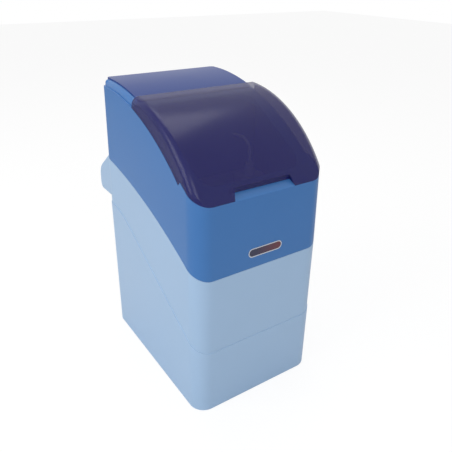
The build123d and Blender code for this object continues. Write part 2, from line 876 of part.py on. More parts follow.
knob_radius = 11.0
knob_height = 7.0
knob_slot_width = 3.0
knob_slot_depth = 3.0
disc_margin = 1.0
disc_radius = turret_bore - disc_margin
disc_thickness = 5.0
seat_thickness = 5.0
seat_ports = 5
seat_port_radius = 5.0
seat_port_circle = 19.0
disc_low = turret_floor + seat_thickness + seat_gap
disc_top = disc_low + disc_thickness
lightening_holes = 6
lightening_radius = 4.5
lightening_circle = 18.0
key_flat_share = 0.7


def make_control_gear():
    wheel = gear(0, turret_y, control_teeth, control_phase, gear_low, gear_top)
    for turn in range(lightening_holes):
        angle = math.radians(turn * 360 / lightening_holes)
        x = lightening_circle * math.cos(angle)
        y = turret_y + lightening_circle * math.sin(angle)
        wheel -= upright(x, y, gear_low - wall, gear_top + wall, lightening_radius)
    wheel += upright(0, turret_y, gear_top - wall, gear_top + knob_height, knob_radius)
    slot_low = gear_top + knob_height - knob_slot_depth
    wheel -= block(
        -knob_radius,
        knob_radius,
        turret_y - knob_slot_width / 2,
        turret_y + knob_slot_width / 2,
        slot_low,
        gear_top + knob_height + wall,
    )
    return wheel - key_shaft(gear_low - wall, slot_low - wall / 2)


def key_shaft(low, high):
    """Shaft with a flat that carries the control gear."""
    shaft = upright(0, turret_y, low, high, shaft_radius)
    flat_x = shaft_radius * key_flat_share
    return shaft - block(
        flat_x, 2 * shaft_radius, turret_y - shaft_radius, turret_y + shaft_radius, low - wall, high + wall
    )


def make_control_disc():
    disc = upright(0, turret_y, disc_low, disc_top, disc_radius)
    turn = math.radians(control_to_idler)
    port_x = seat_port_circle * math.cos(turn)
    port_y = turret_y + seat_port_circle * math.sin(turn)
    disc -= upright(port_x, port_y, disc_low - wall, disc_top + wall, seat_port_radius)
    disc += upright(0, turret_y, disc_top - wall, gear_low, shaft_radius)
    return disc + key_shaft(gear_low - wall, gear_low + gear_thickness)


def make_valve_seat():
    seat = upright(0, turret_y, turret_floor, turret_floor + seat_thickness, turret_bore - socket_clearance)
    for turn in range(seat_ports):
        angle = math.radians(control_to_idler + turn * 360 / seat_ports)
        x = seat_port_circle * math.cos(angle)
        y = turret_y + seat_port_circle * math.sin(angle)
        seat -= upright(x, y, turret_floor - wall, turret_floor + seat_thickness + wall, seat_port_radius)
    return seat


def make_idler_gear():
    wheel = gear(idler_x, idler_y, idler_teeth, idler_phase, gear_low, gear_top)
    bore = pin_radius + running_clearance
    return wheel - upright(idler_x, idler_y, gear_low - wall, gear_top + wall, bore)


def make_turbine():
    wheel = gear(0, meter_y, pinion_teeth, pinion_phase, gear_low, gear_top)
    low = meter_floor - turbine_foot
    wheel += upright(0, meter_y, low, gear_top, turbine_shaft_radius)
    wheel += upright(0, meter_y, turbine_low, turbine_low + turbine_height, turbine_hub_radius)
    blade = block(
        0,
        turbine_radius,
        -turbine_blade_thickness / 2,
        turbine_blade_thickness / 2,
        turbine_low,
        turbine_low + turbine_height,
    )
    for turn in range(turbine_blades):
        wheel += Pos(0, meter_y, 0) * Rot(0, 0, turn * 360 / turbine_blades) * blade
    return wheel


parts["valve_manifold"] = make_manifold() - upright(
    0, meter_y, meter_floor - turbine_foot, meter_floor + wall, turbine_shaft_radius + running_clearance
)
for screw_x, screw_y in screw_places():
    parts["valve_manifold"] -= upright(
        screw_x, screw_y, turret_top - screw_depth, turret_top + wall, screw_radius + running_clearance
    )
parts["valve_cap"] = make_valve_cap()
parts["valve_screws"] = make_valve_screws()
parts["valve_seat"] = make_valve_seat()
parts["control_gear"] = make_control_gear()
parts["control_disc"] = make_control_disc()
parts["idler_gear"] = make_idler_gear()
parts["turbine_wheel"] = make_turbine()
retainer_low = gear_top + seat_gap
parts["idler_retainer"] = pipe(
    idler_x, idler_y, retainer_low, retainer_low + boss_height, pin_radius + boss_margin, pin_radius
)

# Neck seals: an O-ring on each tank neck, under the manifold's socket
neck_seals = []
for side in (-1, 1):
    seal_path = Pos(side * tank_spacing / 2, tank_y, tank_shoulder_height + tank_dome + neck_height / 2)
    neck_seals.append(seal_path * Torus(neck_radius + seal_section / 4, seal_section))
parts["neck_seals"] = Compound(children=neck_seals)
for side, name in ((-1, "left"), (1, "right")):
    groove = Pos(side * tank_spacing / 2, tank_y, tank_shoulder_height + tank_dome + neck_height / 2)
    groove_ring = groove * Torus(neck_radius + seal_section / 4, seal_section)
    parts["resin_tank_" + name] -= groove_ring
    parts["valve_manifold"] -= groove_ring

# Inlet and outlet adapters: elbows from the manifold ports down into the hose cowl, each
# ending in a 3/4 inch male thread, held in its port by a clip and two O-rings
adapter_radius = 10.7
adapter_bore = 8.0
adapter_bend = 13.0
hose_behind = 18.5
hose_depth = body_depth + hose_behind
thread_radius = 13.22
thread_length = 14.0
thread_below_cowl = 13.0
thread_end = cowl_bottom - thread_below_cowl
collar_across = 29.0
collar_height = 7.0
adapter_start_gap = 1.0
groove_depth = 1.6
hose_y = front_y + hose_depth
thread_top = thread_end + thread_length


def elbow_run(x, start_y, height, end_height, radius, bend):
    """Round bar backwards from a start, then down, along one bend."""
    corner = (x, hose_y, height)
    path = FilletPolyline((x, start_y, height), corner, (x, hose_y, end_height), radius=bend)
    section = Plane(origin=(x, start_y, height), z_dir=(0, 1, 0)) * Circle(radius)
    return sweep(section, path=path)


def make_adapter(x):
    start = front_y + port_end - port_socket_depth + adapter_start_gap
    body = elbow_run(x, start, port_height, thread_top, adapter_radius, adapter_bend)
    body += upright(x, hose_y, thread_end, thread_top + wall, thread_radius)
    collar = extrude(RegularPolygon(collar_across / 2, 6, major_radius=False), amount=collar_height)
    body += Pos(x, hose_y, thread_top) * collar
    body -= elbow_run(x, start - wall, port_height, thread_end - wall, adapter_bore, adapter_bend)
    clip_y = front_y + port_end - clip_slot_back
    half_clip = clip_slot_width / 2
    groove = through_back(x, port_height, clip_y - half_clip, clip_y + half_clip, adapter_radius + wall)
    groove -= through_back(x, port_height, clip_y - wall, clip_y + wall, adapter_radius - groove_depth)
    return body - groove


def make_clip(x):
    clip_y = front_y + port_end - clip_slot_back
    half_clip = clip_slot_width / 2 - running_clearance
    low = port_height + port_bore - seal_section
    half_span = adapter_radius - groove_depth
    return block(
        x - half_span,
        x + half_span,
        clip_y - half_clip,
        clip_y + half_clip,
        low,
        port_height + port_radius + wall,
    )


adapter_seals = []
adapter_clips = []
for side, name in ((-1, "inlet"), (1, "outlet")):
    adapter_x = side * port_spacing / 2
    adapter = make_adapter(adapter_x)
    seal_y = front_y + port_end - port_socket_depth + 2 * seal_section + adapter_start_gap
    seal_place = Pos(adapter_x, seal_y, port_height) * Rot(90, 0, 0)
    seal_radius = seal_section / 2 + port_bore - adapter_radius
    seal = seal_place * Torus(adapter_radius - seal_section / 2, seal_radius)
    parts[name + "_adapter"] = adapter - seal
    adapter_seals.append(seal)
    adapter_clips.append(make_clip(adapter_x))
parts["adapter_seals"] = Compound(children=adapter_seals)
parts["adapter_clips"] = Compound(children=adapter_clips)

# Drain barb: from the manifold's drain port down into the cowl
drain_radius = 6.0
drain_hole = 3.0
drain_tail_radius = 5.0
tail_below_cowl = 11.0
drain_end = cowl_bottom - tail_below_cowl
barb_count = 3
barb_step = 6.0
barb_proud = 0.9


def barbed_tail(x, y, low, radius, count, step, proud):
    """Hose tail pointing down, with cones that widen upwards."""
    barbs = []
    for index in range(count):
        cone = Cone(radius, radius + proud, step, align=centre_min)
        barbs.append(Pos(x, y, low + index * step) * cone)
    return barbs


def make_drain_barb():
    start = drain_port_y
    body = elbow_run(0, start, drain_height, drain_end, drain_tail_radius, adapter_bend)
    body += through_back(0, drain_height, start, rear_y - wall, drain_radius)
    for barb in barbed_tail(0, hose_y, drain_end, drain_tail_radius, barb_count, barb_step, barb_proud):
        body += barb
    return body - elbow_run(0, start - wall, drain_height, drain_end - wall, drain_hole, adapter_bend)


parts["drain_barb"] = make_drain_barb()

# Overflow: an elbow through the back wall with a nut inside
overflow_radius = 8.0
overflow_bore = 6.0
overflow_flange_radius = 12.0
overflow_flange_thickness = 2.0
overflow_end = cowl_bottom - tail_below_cowl
overflow_inside = 10.0
nut_across = 26.0
nut_thickness = 5.0


def make_overflow_elbow():
    inside_y = rear_y - wall - overflow_inside
    body = elbow_run(overflow_x, inside_y, overflow_height, overflow_end, overflow_radius, adapter_bend)
    flange_end = rear_y + cowl_mouth_gap + overflow_flange_thickness
    body += through_back(
        overflow_x, overflow_height, rear_y + cowl_mouth_gap, flange_end, overflow_flange_radius
    )
    hollow_end = overflow_end - wall
    hollow = elbow_run(overflow_x, inside_y - wall, overflow_height, hollow_end, overflow_bore, adapter_bend)
    return body - hollow


def make_overflow_nut():
    hexagon = RegularPolygon(nut_across / 2, 6, major_radius=False)
    place = Pos(overflow_x, rear_y - wall - seat_gap, overflow_height)
    nut = extrude(place * (Plane.XZ * hexagon), amount=nut_thickness)
    hole_low = rear_y - 2 * wall - 2 * nut_thickness
    return nut - through_back(
        overflow_x, overflow_height, hole_low, rear_y + wall, overflow_radius + running_clearance
    )


parts["overflow_elbow"] = make_overflow_elbow()
parts["overflow_nut"] = make_overflow_nut()

# Salt grid: a slotted plate on legs that keeps the blocks above the brine intake
grid_height = 38.0
grid_thickness = 3.0
grid_gap = 1.0
grid_columns = 7
grid_rows = 6
grid_slot_width = 5.0
grid_slot_length = 16.0
grid_leg_radius = 6.0
grid_side = 33.0
grid_column_pitch = 2 * (half_width - grid_side) / (grid_columns - 1)
grid_row_pitch = 26.0
grid_front = 8.0


def make_salt_grid():
    rear = front_y + divider_depth - grid_gap
    front = front_y + grid_front
    inset = wall + base_draft + grid_gap
    plate = extrude(plan(inset), amount=grid_thickness)
    plate = Pos(0, 0, grid_height) * plate
    plate &= block(-half_width, half_width, front, rear, 0, grid_height + grid_thickness)
    middle_y = (front + rear) / 2
    for column in range(grid_columns):
        for row in range(grid_rows):
            x = (column - (grid_columns - 1) / 2) * grid_column_pitch
            y = middle_y + (row - (grid_rows - 1) / 2) * grid_row_pitch
            slot = Pos(x, y, grid_height - wall) * SlotOverall(grid_slot_length, grid_slot_width, rotation=90)
            near_well = math.hypot(x - well_x, y - well_y) < well_radius + ring_wall + grid_slot_length
            near_end = abs(row - (grid_rows - 1) / 2) > grid_rows / 3
            near_leg = near_end and abs(abs(x) - grid_column_pitch * 3) < wall
            if not near_well and not near_leg:
                plate -= extrude(slot, amount=grid_thickness + 2 * wall)
    leg_x = grid_column_pitch * (grid_columns - 1) / 2
    leg_y = grid_row_pitch * (grid_rows - 1) / 2
    for x, y in ((-leg_x, -leg_y), (leg_x, -leg_y), (-leg_x, leg_y)):
        plate += upright(x, middle_y + y, floor_thickness, grid_height + grid_thickness / 2, grid_leg_radius)
    return plate - upright(well_x, well_y, 0, grid_height + overrun, well_radius + grid_gap / 2)


parts["salt_grid"] = make_salt_grid()

# Brine well: a slotted tube on the floor, with a cap that carries the brine valve
well_slots = 6
well_slot_width = 3.0
well_slot_top = 32.0
well_slot_low = 20.0
well_cap_thickness = 2.5
well_cap_skirt = 8.0
stem_radius = 5.0
stem_bore = 3.0
stem_foot_radius = 14.0
stem_foot_height = 22.0
stem_head_radius = 9.0
stem_head_height = 14.0
float_radius = 18.0
float_height = 44.0
float_wall = 2.5
float_stop_below_top = 86.0
float_stop_height = well_top - float_stop_below_top
float_stop_radius = 8.0
float_stop_thickness = 3.0
stem_top = well_top + well_cap_thickness
brine_tail = 8.0


def make_brine_well():
    tube = pipe(well_x, well_y, floor_thickness, well_top, well_radius, well_radius - well_wall)
    slot = block(0, 2 * well_radius, -well_slot_width / 2, well_slot_width / 2, well_slot_low, well_slot_top)
    for turn in range(well_slots):
        tube -= Pos(well_x, well_y, 0) * Rot(0, 0, turn * 360 / well_slots) * slot
    return tube


def make_well_cap():
    cap = upright(well_x, well_y, well_top, well_top + well_cap_thickness, well_radius + well_wall)
    skirt_outer = well_radius + well_wall
    skirt_inner = well_radius + running_clearance
    cap += pipe(well_x, well_y, well_top - well_cap_skirt, well_top, skirt_outer, skirt_inner)
    return cap - upright(well_x, well_y, well_top - wall, well_top + overrun, stem_radius + running_clearance)


def make_brine_valve():
    low = floor_thickness + wall
    foot = upright(well_x, well_y, low, low + stem_foot_height, stem_foot_radius)
    foot = fillet(foot.edges().group_by(Axis.Z)[-1], stem_radius / 2)
    foot += upright(well_x, well_y, floor_thickness, low + wall, stem_radius)
    stem = upright(well_x, well_y, low, stem_top + wall, stem_radius)
    head = upright(well_x, well_y, stem_top, stem_top + stem_head_height, stem_head_radius)
    head = fillet(head.edges().group_by(Axis.Z)[-1], stem_radius / 2)
    valve = foot + stem + head
    tail_top = stem_top + stem_head_height + brine_tail
    valve += upright(well_x, well_y, stem_top, tail_top, brine_port_radius)
    valve -= upright(well_x, well_y, low + wall, tail_top + wall, stem_bore)
    return valve - upright(well_x, well_y, tail_top - brine_tail, tail_top + wall, tube_radius)



def make_brine_float():
    low = floor_thickness + wall + stem_foot_height + seat_gap
    body = upright(well_x, well_y, low, low + float_height, float_radius)
    body = fillet(body.edges().group_by(Axis.Z)[-1] + body.edges().group_by(Axis.Z)[0], float_wall)
    bore_radius = stem_radius + running_clearance
    return body - upright(well_x, well_y, low - wall, low + float_height + wall, bore_radius)


parts["brine_well"] = make_brine_well()
parts["well_cap"] = make_well_cap()
parts["brine_valve"] = make_brine_valve()
parts["brine_float"] = make_brine_float()
parts["float_stop"] = pipe(
    well_x,
    well_y,
    float_stop_height,
    float_stop_height + float_stop_thickness,
    float_stop_radius,
    stem_radius,
)

# Brine line: a small tube from the brine valve over the divider to the manifold
line_bend = 22.0
line_start = stem_top + stem_head_height
line_end = socket_top


def make_brine_line():
    points = (
        (well_x, well_y, line_start),
        (well_x, well_y, line_pass_height),
        (brine_port_x, tank_y, line_pass_height),
        (brine_port_x, tank_y, line_end),
    )
    path = FilletPolyline(*points, radius=line_bend)
    section = Plane(origin=points[0], z_dir=(0, 0, 1)) * Circle(tube_radius)
    return sweep(section, path=path)


parts["brine_line"] = make_brine_line()

os.makedirs("parts", exist_ok=True)
for name, solid in parts.items():
    export_step(solid, os.path.join("parts", name + ".step"))
    print(name, round(solid.volume), len(solid.solids()))
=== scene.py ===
import bpy
import bmesh
import math
from mathutils.geometry import delaunay_2d_cdt
from mathutils import Matrix, Vector


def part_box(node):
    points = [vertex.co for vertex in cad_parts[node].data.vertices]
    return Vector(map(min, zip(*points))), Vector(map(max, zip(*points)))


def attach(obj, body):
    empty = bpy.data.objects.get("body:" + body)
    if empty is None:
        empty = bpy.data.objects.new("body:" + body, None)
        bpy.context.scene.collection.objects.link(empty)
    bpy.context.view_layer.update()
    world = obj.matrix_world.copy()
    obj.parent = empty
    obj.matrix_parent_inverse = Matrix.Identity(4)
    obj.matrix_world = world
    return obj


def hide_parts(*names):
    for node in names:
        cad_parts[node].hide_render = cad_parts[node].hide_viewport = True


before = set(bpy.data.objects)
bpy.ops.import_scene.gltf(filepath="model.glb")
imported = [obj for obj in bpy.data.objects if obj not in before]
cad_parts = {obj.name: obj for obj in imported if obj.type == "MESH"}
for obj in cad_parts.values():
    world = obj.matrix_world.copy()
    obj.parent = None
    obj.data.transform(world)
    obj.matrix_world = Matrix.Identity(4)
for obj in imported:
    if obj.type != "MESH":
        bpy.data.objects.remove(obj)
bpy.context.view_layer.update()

# Camera and studio: the cabinet is seen from its front left corner, a little above its top,
# over a white floor that fades into a white room and keeps only the soft shadow.
# The lens and shift give the photograph's framing.
photo_pixels = 452
sensor_width = 36.0
focal_pixels = 524.0
axis_pixel_x = 226.0
axis_pixel_y = 186.0
camera_place = (-0.4309, -0.6880, 0.6528)
camera_turn = math.radians(-34.085)
camera_rise = math.radians(22.72)
camera_roll = math.radians(0.83)

camera_data = bpy.data.cameras.new("studio_camera")
camera_data.sensor_width = sensor_width
camera_data.lens = focal_pixels / photo_pixels * sensor_width
camera_data.shift_x = 0.5 - axis_pixel_x / photo_pixels
camera_data.shift_y = axis_pixel_y / photo_pixels - 0.5
camera = bpy.data.objects.new("studio_camera", camera_data)
bpy.context.scene.collection.objects.link(camera)
looking = Matrix.Rotation(camera_turn, 4, "Z") @ Matrix.Rotation(math.pi / 2 - camera_rise, 4, "X")
camera.matrix_world = Matrix.Translation(camera_place) @ looking @ Matrix.Rotation(camera_roll, 4, "Z")
bpy.context.scene.camera = camera


def area_lamp(name, place, aim, size, watts):
    """A soft box that points from its place at an aim."""
    data = bpy.data.lights.new(name, "AREA")
    data.shape = "RECTANGLE"
    data.size, data.size_y = size
    data.energy = watts
    lamp = bpy.data.objects.new(name, data)
    direction = Vector(aim) - Vector(place)
    lamp.matrix_world = Matrix.Translation(place) @ direction.to_track_quat("-Z", "Y").to_matrix().to_4x4()
    bpy.context.scene.collection.objects.link(lamp)


cabinet_middle = (0.0, 0.0, 0.25)
area_lamp("key_box", (-0.5, -1.7, 1.5), cabinet_middle, (1.2, 1.2), 10)
area_lamp("side_box", (-1.9, 0.1, 1.2), cabinet_middle, (1.4, 1.4), 15)
area_lamp("top_box", (0.3, 0.6, 2.2), cabinet_middle, (1.4, 1.0), 9)

room_light = 0.4
room_seen = 1.0
world = bpy.data.worlds.new("white_room")
world.use_nodes = True
world_nodes = world.node_tree.nodes
world_links = world.node_tree.links
rays = world_nodes.new("ShaderNodeLightPath")
seen = world_nodes.new("ShaderNodeMath")
seen.operation = "MAXIMUM"
world_links.new(rays.outputs["Is Camera Ray"], seen.inputs[0])
seen_glossy = world_nodes.new("ShaderNodeMath")
seen_glossy.operation = "MAXIMUM"
world_links.new(rays.outputs["Is Transmission Ray"], seen_glossy.inputs[0])
world_links.new(rays.outputs["Is Glossy Ray"], seen_glossy.inputs[1])
world_links.new(seen_glossy.outputs[0], seen.inputs[1])
room_strength = world_nodes.new("ShaderNodeMapRange")
room_strength.inputs["To Min"].default_value = room_light
room_strength.inputs["To Max"].default_value = room_seen
world_links.new(seen.outputs[0], room_strength.inputs["Value"])
world_links.new(room_strength.outputs[0], world_nodes["Background"].inputs["Strength"])
world_nodes["Background"].inputs["Color"].default_value = (1, 1, 1, 1)
bpy.context.scene.world = world
bpy.context.scene.view_settings.view_transform = "Standard"

floor_half = 6.0
floor_colour = (0.9, 0.9, 0.9, 1)
floor_roughness = 0.9
floor_fade_share = 0.78
floor_glow = 1.1
floor_mesh = bpy.data.meshes.new("studio_floor")
floor_corners = [(-floor_half, -floor_half, 0), (floor_half, -floor_half, 0)]
floor_corners += [(floor_half, floor_half, 0), (-floor_half, floor_half, 0)]
floor_mesh.from_pydata(floor_corners, [], [(0, 1, 2, 3)])
floor = bpy.data.objects.new("studio_floor", floor_mesh)
bpy.context.scene.collection.objects.link(floor)

floor_paint = bpy.data.materials.new("studio_floor_white")
floor_paint.use_nodes = True
floor_nodes = floor_paint.node_tree.nodes
floor_links = floor_paint.node_tree.links
floor_nodes["Principled BSDF"].inputs["Base Color"].default_value = floor_colour
floor_nodes["Principled BSDF"].inputs["Roughness"].default_value = floor_roughness
floor_rays = floor_nodes.new("ShaderNodeLightPath")
floor_white = floor_nodes.new("ShaderNodeEmission")
floor_mix = floor_nodes.new("ShaderNodeMixShader")
floor_fade = floor_nodes.new("ShaderNodeMath")
floor_fade.operation = "MULTIPLY"
floor_fade.inputs[1].default_value = floor_fade_share
floor_white.inputs["Strength"].default_value = floor_glow
floor_links.new(floor_rays.outputs["Is Camera Ray"], floor_fade.inputs[0])
floor_links.new(floor_fade.outputs[0], floor_mix.inputs[0])
floor_links.new(floor_nodes["Principled BSDF"].outputs[0], floor_mix.inputs[1])
floor_links.new(floor_white.outputs[0], floor_mix.inputs[2])
floor_links.new(floor_mix.outputs[0], floor_nodes["Material Output"].inputs["Surface"])
floor_mesh.materials.append(floor_paint)

# Base cabinet: the injection-moulded tub that the cabinet stands on, in pale blue plastic.
# Its skirt stands a little proud below a slanted crease, a divider parts the salt from the
# valve, and a cowl across the back keeps the hoses off the wall.
mm = 0.001
body_half_width = 117.0 * mm
body_half_depth = 154.5 * mm
front_corner = 28.0 * mm
rear_corner = 14.0 * mm
wall = 3.0 * mm
floor_top = 3.5 * mm
base_draft = 3.6 * mm
housing_draft = 0.8 * mm
split_front = 240.0 * mm
split_rise = 101.0 * mm
crease_front = 112.0 * mm
crease_rise = 145.0 * mm
crease_knee_depth = 224.0 * mm
crease_knee_rise = 125.0 * mm
skirt_proud = 1.0 * mm
edge_round = 1.0 * mm
foot_round = 1.8 * mm


def paint(red, green, blue):
    """Linear colour of a shade given in 0 to 255 display values."""
    linear = []
    for value in (red, green, blue):
        share = value / 255
        linear.append(share / 12.92 if share <= 0.04045 else ((share + 0.055) / 1.055) ** 2.4)
    return (*linear, 1.0)


# How every plastic varies: a soft cloud of shade and gloss, and a fine moulded grain.
cloud_scale = 14.0
cloud_detail = 3.0
grain_detail = 2.0
grain_strength = 0.5
gloss_spread = 0.05
coat_roughness = 0.12
pale_lift = 0.004


def moulded_plastic(name, colour, roughness=0.3, grain=900.0, relief=0.005 * mm, coat=0.0, tint=0.06):
    """Moulded plastic: a slight unevenness of colour and gloss, and a fine grain."""
    material = bpy.data.materials.new(name)
    material.use_nodes = True
    nodes = material.node_tree.nodes
    links = material.node_tree.links
    shader = nodes["Principled BSDF"]
    shader.inputs["Coat Weight"].default_value = coat
    shader.inputs["Coat Roughness"].default_value = coat_roughness
    place = nodes.new("ShaderNodeTexCoord")
    cloud = nodes.new("ShaderNodeTexNoise")
    cloud.inputs["Scale"].default_value = cloud_scale
    cloud.inputs["Detail"].default_value = cloud_detail
    links.new(place.outputs["Object"], cloud.inputs["Vector"])
    shade = nodes.new("ShaderNodeMix")
    shade.data_type = "RGBA"
    shade.inputs["A"].default_value = colour
    paler = [min(1.0, value * (1 + tint) + pale_lift) for value in colour[:3]]
    shade.inputs["B"].default_value = (*paler, 1.0)
    links.new(cloud.outputs["Fac"], shade.inputs["Factor"])
    links.new(shade.outputs["Result"], shader.inputs["Base Color"])
    gloss = nodes.new("ShaderNodeMapRange")
    gloss.inputs["To Min"].default_value = roughness - gloss_spread
    gloss.inputs["To Max"].default_value = roughness + gloss_spread
    links.new(cloud.outputs["Fac"], gloss.inputs["Value"])
    links.new(gloss.outputs["Result"], shader.inputs["Roughness"])
    fine = nodes.new("ShaderNodeTexNoise")
    fine.inputs["Scale"].default_value = grain
    fine.inputs["Detail"].default_value = grain_detail
    links.new(place.outputs["Object"], fine.inputs["Vector"])
    bump = nodes.new("ShaderNodeBump")
    bump.inputs["Strength"].default_value = grain_strength
    bump.inputs["Distance"].default_value = relief
    links.new(fine.outputs["Fac"], bump.inputs["Height"])
    links.new(bump.outputs["Normal"], shader.inputs["Normal"])
    return material


def quarter(start_angle, steps):
    """Angles of a quarter turn from a start angle."""
    return [start_angle + math.pi / 2 * step / steps for step in range(steps + 1)]


def outline_columns(side_levels, corner_steps=12, end_steps=10):
    """Places round the cabinet's widest outline, each with its outward direction."""
    front_x = body_half_width - front_corner
    rear_x = body_half_width - rear_corner
    front_y = -body_half_depth + front_corner
    rear_y = body_half_depth - rear_corner
    columns = []
    for step in range(end_steps):
        x = front_x * (2 * step / end_steps - 1)
        columns.append((x, -body_half_depth, 0.0, -1.0))
    for angle in quarter(-math.pi / 2, corner_steps):
        nx, ny = math.cos(angle), math.sin(angle)
        columns.append((front_x + front_corner * nx, front_y + front_corner * ny, nx, ny))
    for y in side_levels:
        columns.append((body_half_width, y, 1.0, 0.0))
    for angle in quarter(0.0, corner_steps):
        nx, ny = math.cos(angle), math.sin(angle)
        columns.append((rear_x + rear_corner * nx, rear_y + rear_corner * ny, nx, ny))
    for step in range(1, end_steps):
        columns.append((rear_x * (1 - 2 * step / end_steps), body_half_depth, 0.0, 1.0))
    for angle in quarter(math.pi / 2, corner_steps):
        nx, ny = math.cos(angle), math.sin(angle)
        columns.append((-rear_x + rear_corner * nx, rear_y + rear_corner * ny, nx, ny))
    for y in reversed(side_levels):
        columns.append((-body_half_width, y, -1.0, 0.0))
    for angle in quarter(math.pi, corner_steps)[:-1]:
        nx, ny = math.cos(angle), math.sin(angle)
        columns.append((-front_x + front_corner * nx, front_y + front_corner * ny, nx, ny))
    return columns


def even_levels(low, high, count):
    """Evenly spaced places between two ends, without the ends."""
    return [low + (high - low) * (step + 1) / (count + 1) for step in range(count)]


def through_three(first, second, third):
    """Centre and radius of the circle through three points."""
    ax, ay = second[0] - first[0], second[1] - first[1]
    bx, by = third[0] - first[0], third[1] - first[1]
    double = 2 * (ax * by - ay * bx)
    cx = (by * (ax * ax + ay * ay) - ay * (bx * bx + by * by)) / double
    cy = (ax * (bx * bx + by * by) - bx * (ax * ax + ay * ay)) / double
    return first[0] + cx, first[1] + cy, math.hypot(cx, cy)


split_middle_share = 0.668
split_middle = (0.0, split_front + split_middle_share * split_rise)
split_arc = through_three(
    (-body_half_depth, split_front), split_middle, (body_half_depth, split_front + split_rise)
)


def arc_height(arc, y):
    """Height of the upper side of a circle at a depth."""
    return arc[1] + math.sqrt(arc[2] ** 2 - (y - arc[0]) ** 2)


def split_height(y):
    """Height of the colour line between base and housing."""
    return arc_height(split_arc, y)


crease_slope = crease_knee_rise / crease_knee_depth
crease_after = 2 * body_half_depth - crease_knee_depth
crease_left = crease_rise - crease_knee_rise
crease_tangent = math.hypot(1.0, crease_slope)
crease_sag = (crease_slope * crease_after - crease_left) / crease_tangent
crease_radius = (crease_after**2 + crease_left**2) / (2 * crease_sag)
crease_arc = (
    -body_half_depth + crease_knee_depth + crease_radius * crease_slope / crease_tangent,
    crease_front + crease_knee_rise - crease_radius / crease_tangent,
    crease_radius,
)


def crease_height(y):
    """Height of the crease: straight up to a knee, then levelling off in an arc."""
    depth = y + body_half_depth
    if depth < crease_knee_depth:
        return crease_front + crease_slope * depth
    return arc_height(crease_arc, y)


def draft_at(height):
    """How far the wall leans in at a height."""
    if height < split_front:
        return base_draft * (1 - height / split_front)
    return housing_draft * (height - split_front) / split_front


def rounded(corners, steps=3):
    """Line through (inset, height, radius) corners, each rounded by its radius."""
    line = [corners[0][:2]]
    for index in range(1, len(corners) - 1):
        corner = Vector(corners[index][:2])
        before = Vector(corners[index - 1][:2])
        after = Vector(corners[index + 1][:2])
        radius = corners[index][2]
        start = corner + (before - corner).normalized() * radius
        end = corner + (after - corner).normalized() * radius
        for step in range(steps + 1):
            share = step / steps
            point = start.lerp(corner, share).lerp(corner.lerp(end, share), share)
            line.append(tuple(point))
    line.append(corners[-1][:2])
    return line


def ring_of(mesh, columns, section):
    """Rows of vertices round the outline; the section gives (inset, height) at a column."""
    rows = []
    for x, y, nx, ny in columns:
        points = section(x, y, nx, ny)
        rows.append([mesh.verts.new((x - nx * inset, y - ny * inset, z)) for inset, z in points])
    return rows


def skin(mesh, rows, closed=True):
    """Faces between neighbouring rows."""
    count = len(rows)
    for index in range(count if closed else count - 1):
        left = rows[index]
        right = rows[(index + 1) % count]
        for step in range(len(left) - 1):
            mesh.faces.new((left[step], right[step], right[step + 1], left[step + 1]))


def closed_box(mesh, low, high):
    """Closed box between two corners."""
    corners = []
    for z in (low[2], high[2]):
        for y in (low[1], high[1]):
            corners += [mesh.verts.new((x, y, z)) for x in (low[0], high[0])]
    for face in ((0, 2, 3, 1), (4, 5, 7, 6), (0, 1, 5, 4), (2, 6, 7, 3), (0, 4, 6, 2), (1, 3, 7, 5)):
        mesh.faces.new([corners[index] for index in face])


def closed_ring(mesh, centre, inner, outer, low, high, sides=64):
    """Closed round collar."""
    rows = []
    for step in range(sides):
        angle = 2 * math.pi * step / sides
        row = []
        for radius, z in ((inner, low), (outer, low), (outer, high), (inner, high)):
            row.append((centre[0] + radius * math.cos(angle), centre[1] + radius * math.sin(angle), z))
        rows.append([mesh.verts.new(point) for point in row])
    for index in range(sides):
        left, right = rows[index], rows[(index + 1) % sides]
        for step in range(4):
            after = (step + 1) % 4
            mesh.faces.new((left[step], right[step], right[after], left[after]))


def plain_object(name, mesh):
    """Scene object from an edited mesh, with doubles merged and faces outwards."""
    bmesh.ops.remove_doubles(mesh, verts=mesh.verts, dist=0.001 * mm)
    bmesh.ops.recalc_face_normals(mesh, faces=mesh.faces)
    data = bpy.data.meshes.new(name)
    mesh.to_mesh(data)
    mesh.free()
    thing = bpy.data.objects.new(name, data)
    bpy.context.scene.collection.objects.link(thing)
    return thing


def combined(thing, tool, operation):
    """Result of cutting or joining with a tool body, which is then removed."""
    step = thing.modifiers.new("cut", "BOOLEAN")
    step.operation = operation
    step.solver = "EXACT"
    step.object = tool
    settle(thing)
    bpy.data.objects.remove(tool)
    return thing


def settle(thing):
    """Apply the modifiers of a piece."""
    bpy.context.view_layer.update()
    view = bpy.context.evaluated_depsgraph_get()
    data = bpy.data.meshes.new_from_object(thing.evaluated_get(view))
    thing.modifiers.clear()
    thing.data = data


face_weight = 80


def smooth_finish(thing, sharp_angle=32.0):
    """Smooth shading that keeps flat faces flat beside their rounded edges."""
    thing.data.shade_smooth()
    thing.data.set_sharp_from_angle(angle=math.radians(sharp_angle))
    weigh = thing.modifiers.new("weigh", "WEIGHTED_NORMAL")
    weigh.keep_sharp = True
    weigh.weight = face_weight
    settle(thing)


def base_section(x, y, nx, ny):
    """Inner wall, top edge, outer wall, crease, skirt and foot at one column."""
    top = split_height(y)
    crease = crease_height(y)
    skirt = draft_at(0) - skirt_proud
    corners = [
        (draft_at(floor_top) + wall + 4 * wall, floor_top, 0),
        (draft_at(floor_top) + wall, floor_top, wall),
        (draft_at(top) + wall, top, edge_round / 2),
        (draft_at(top), top, edge_round),
        (draft_at(crease), crease, edge_round / 3),
        (draft_at(crease) - skirt_proud, crease, edge_round * 0.9),
        (skirt, 0, foot_round),
        (skirt + 4 * wall, 0, 0),
    ]
    return rounded(corners)


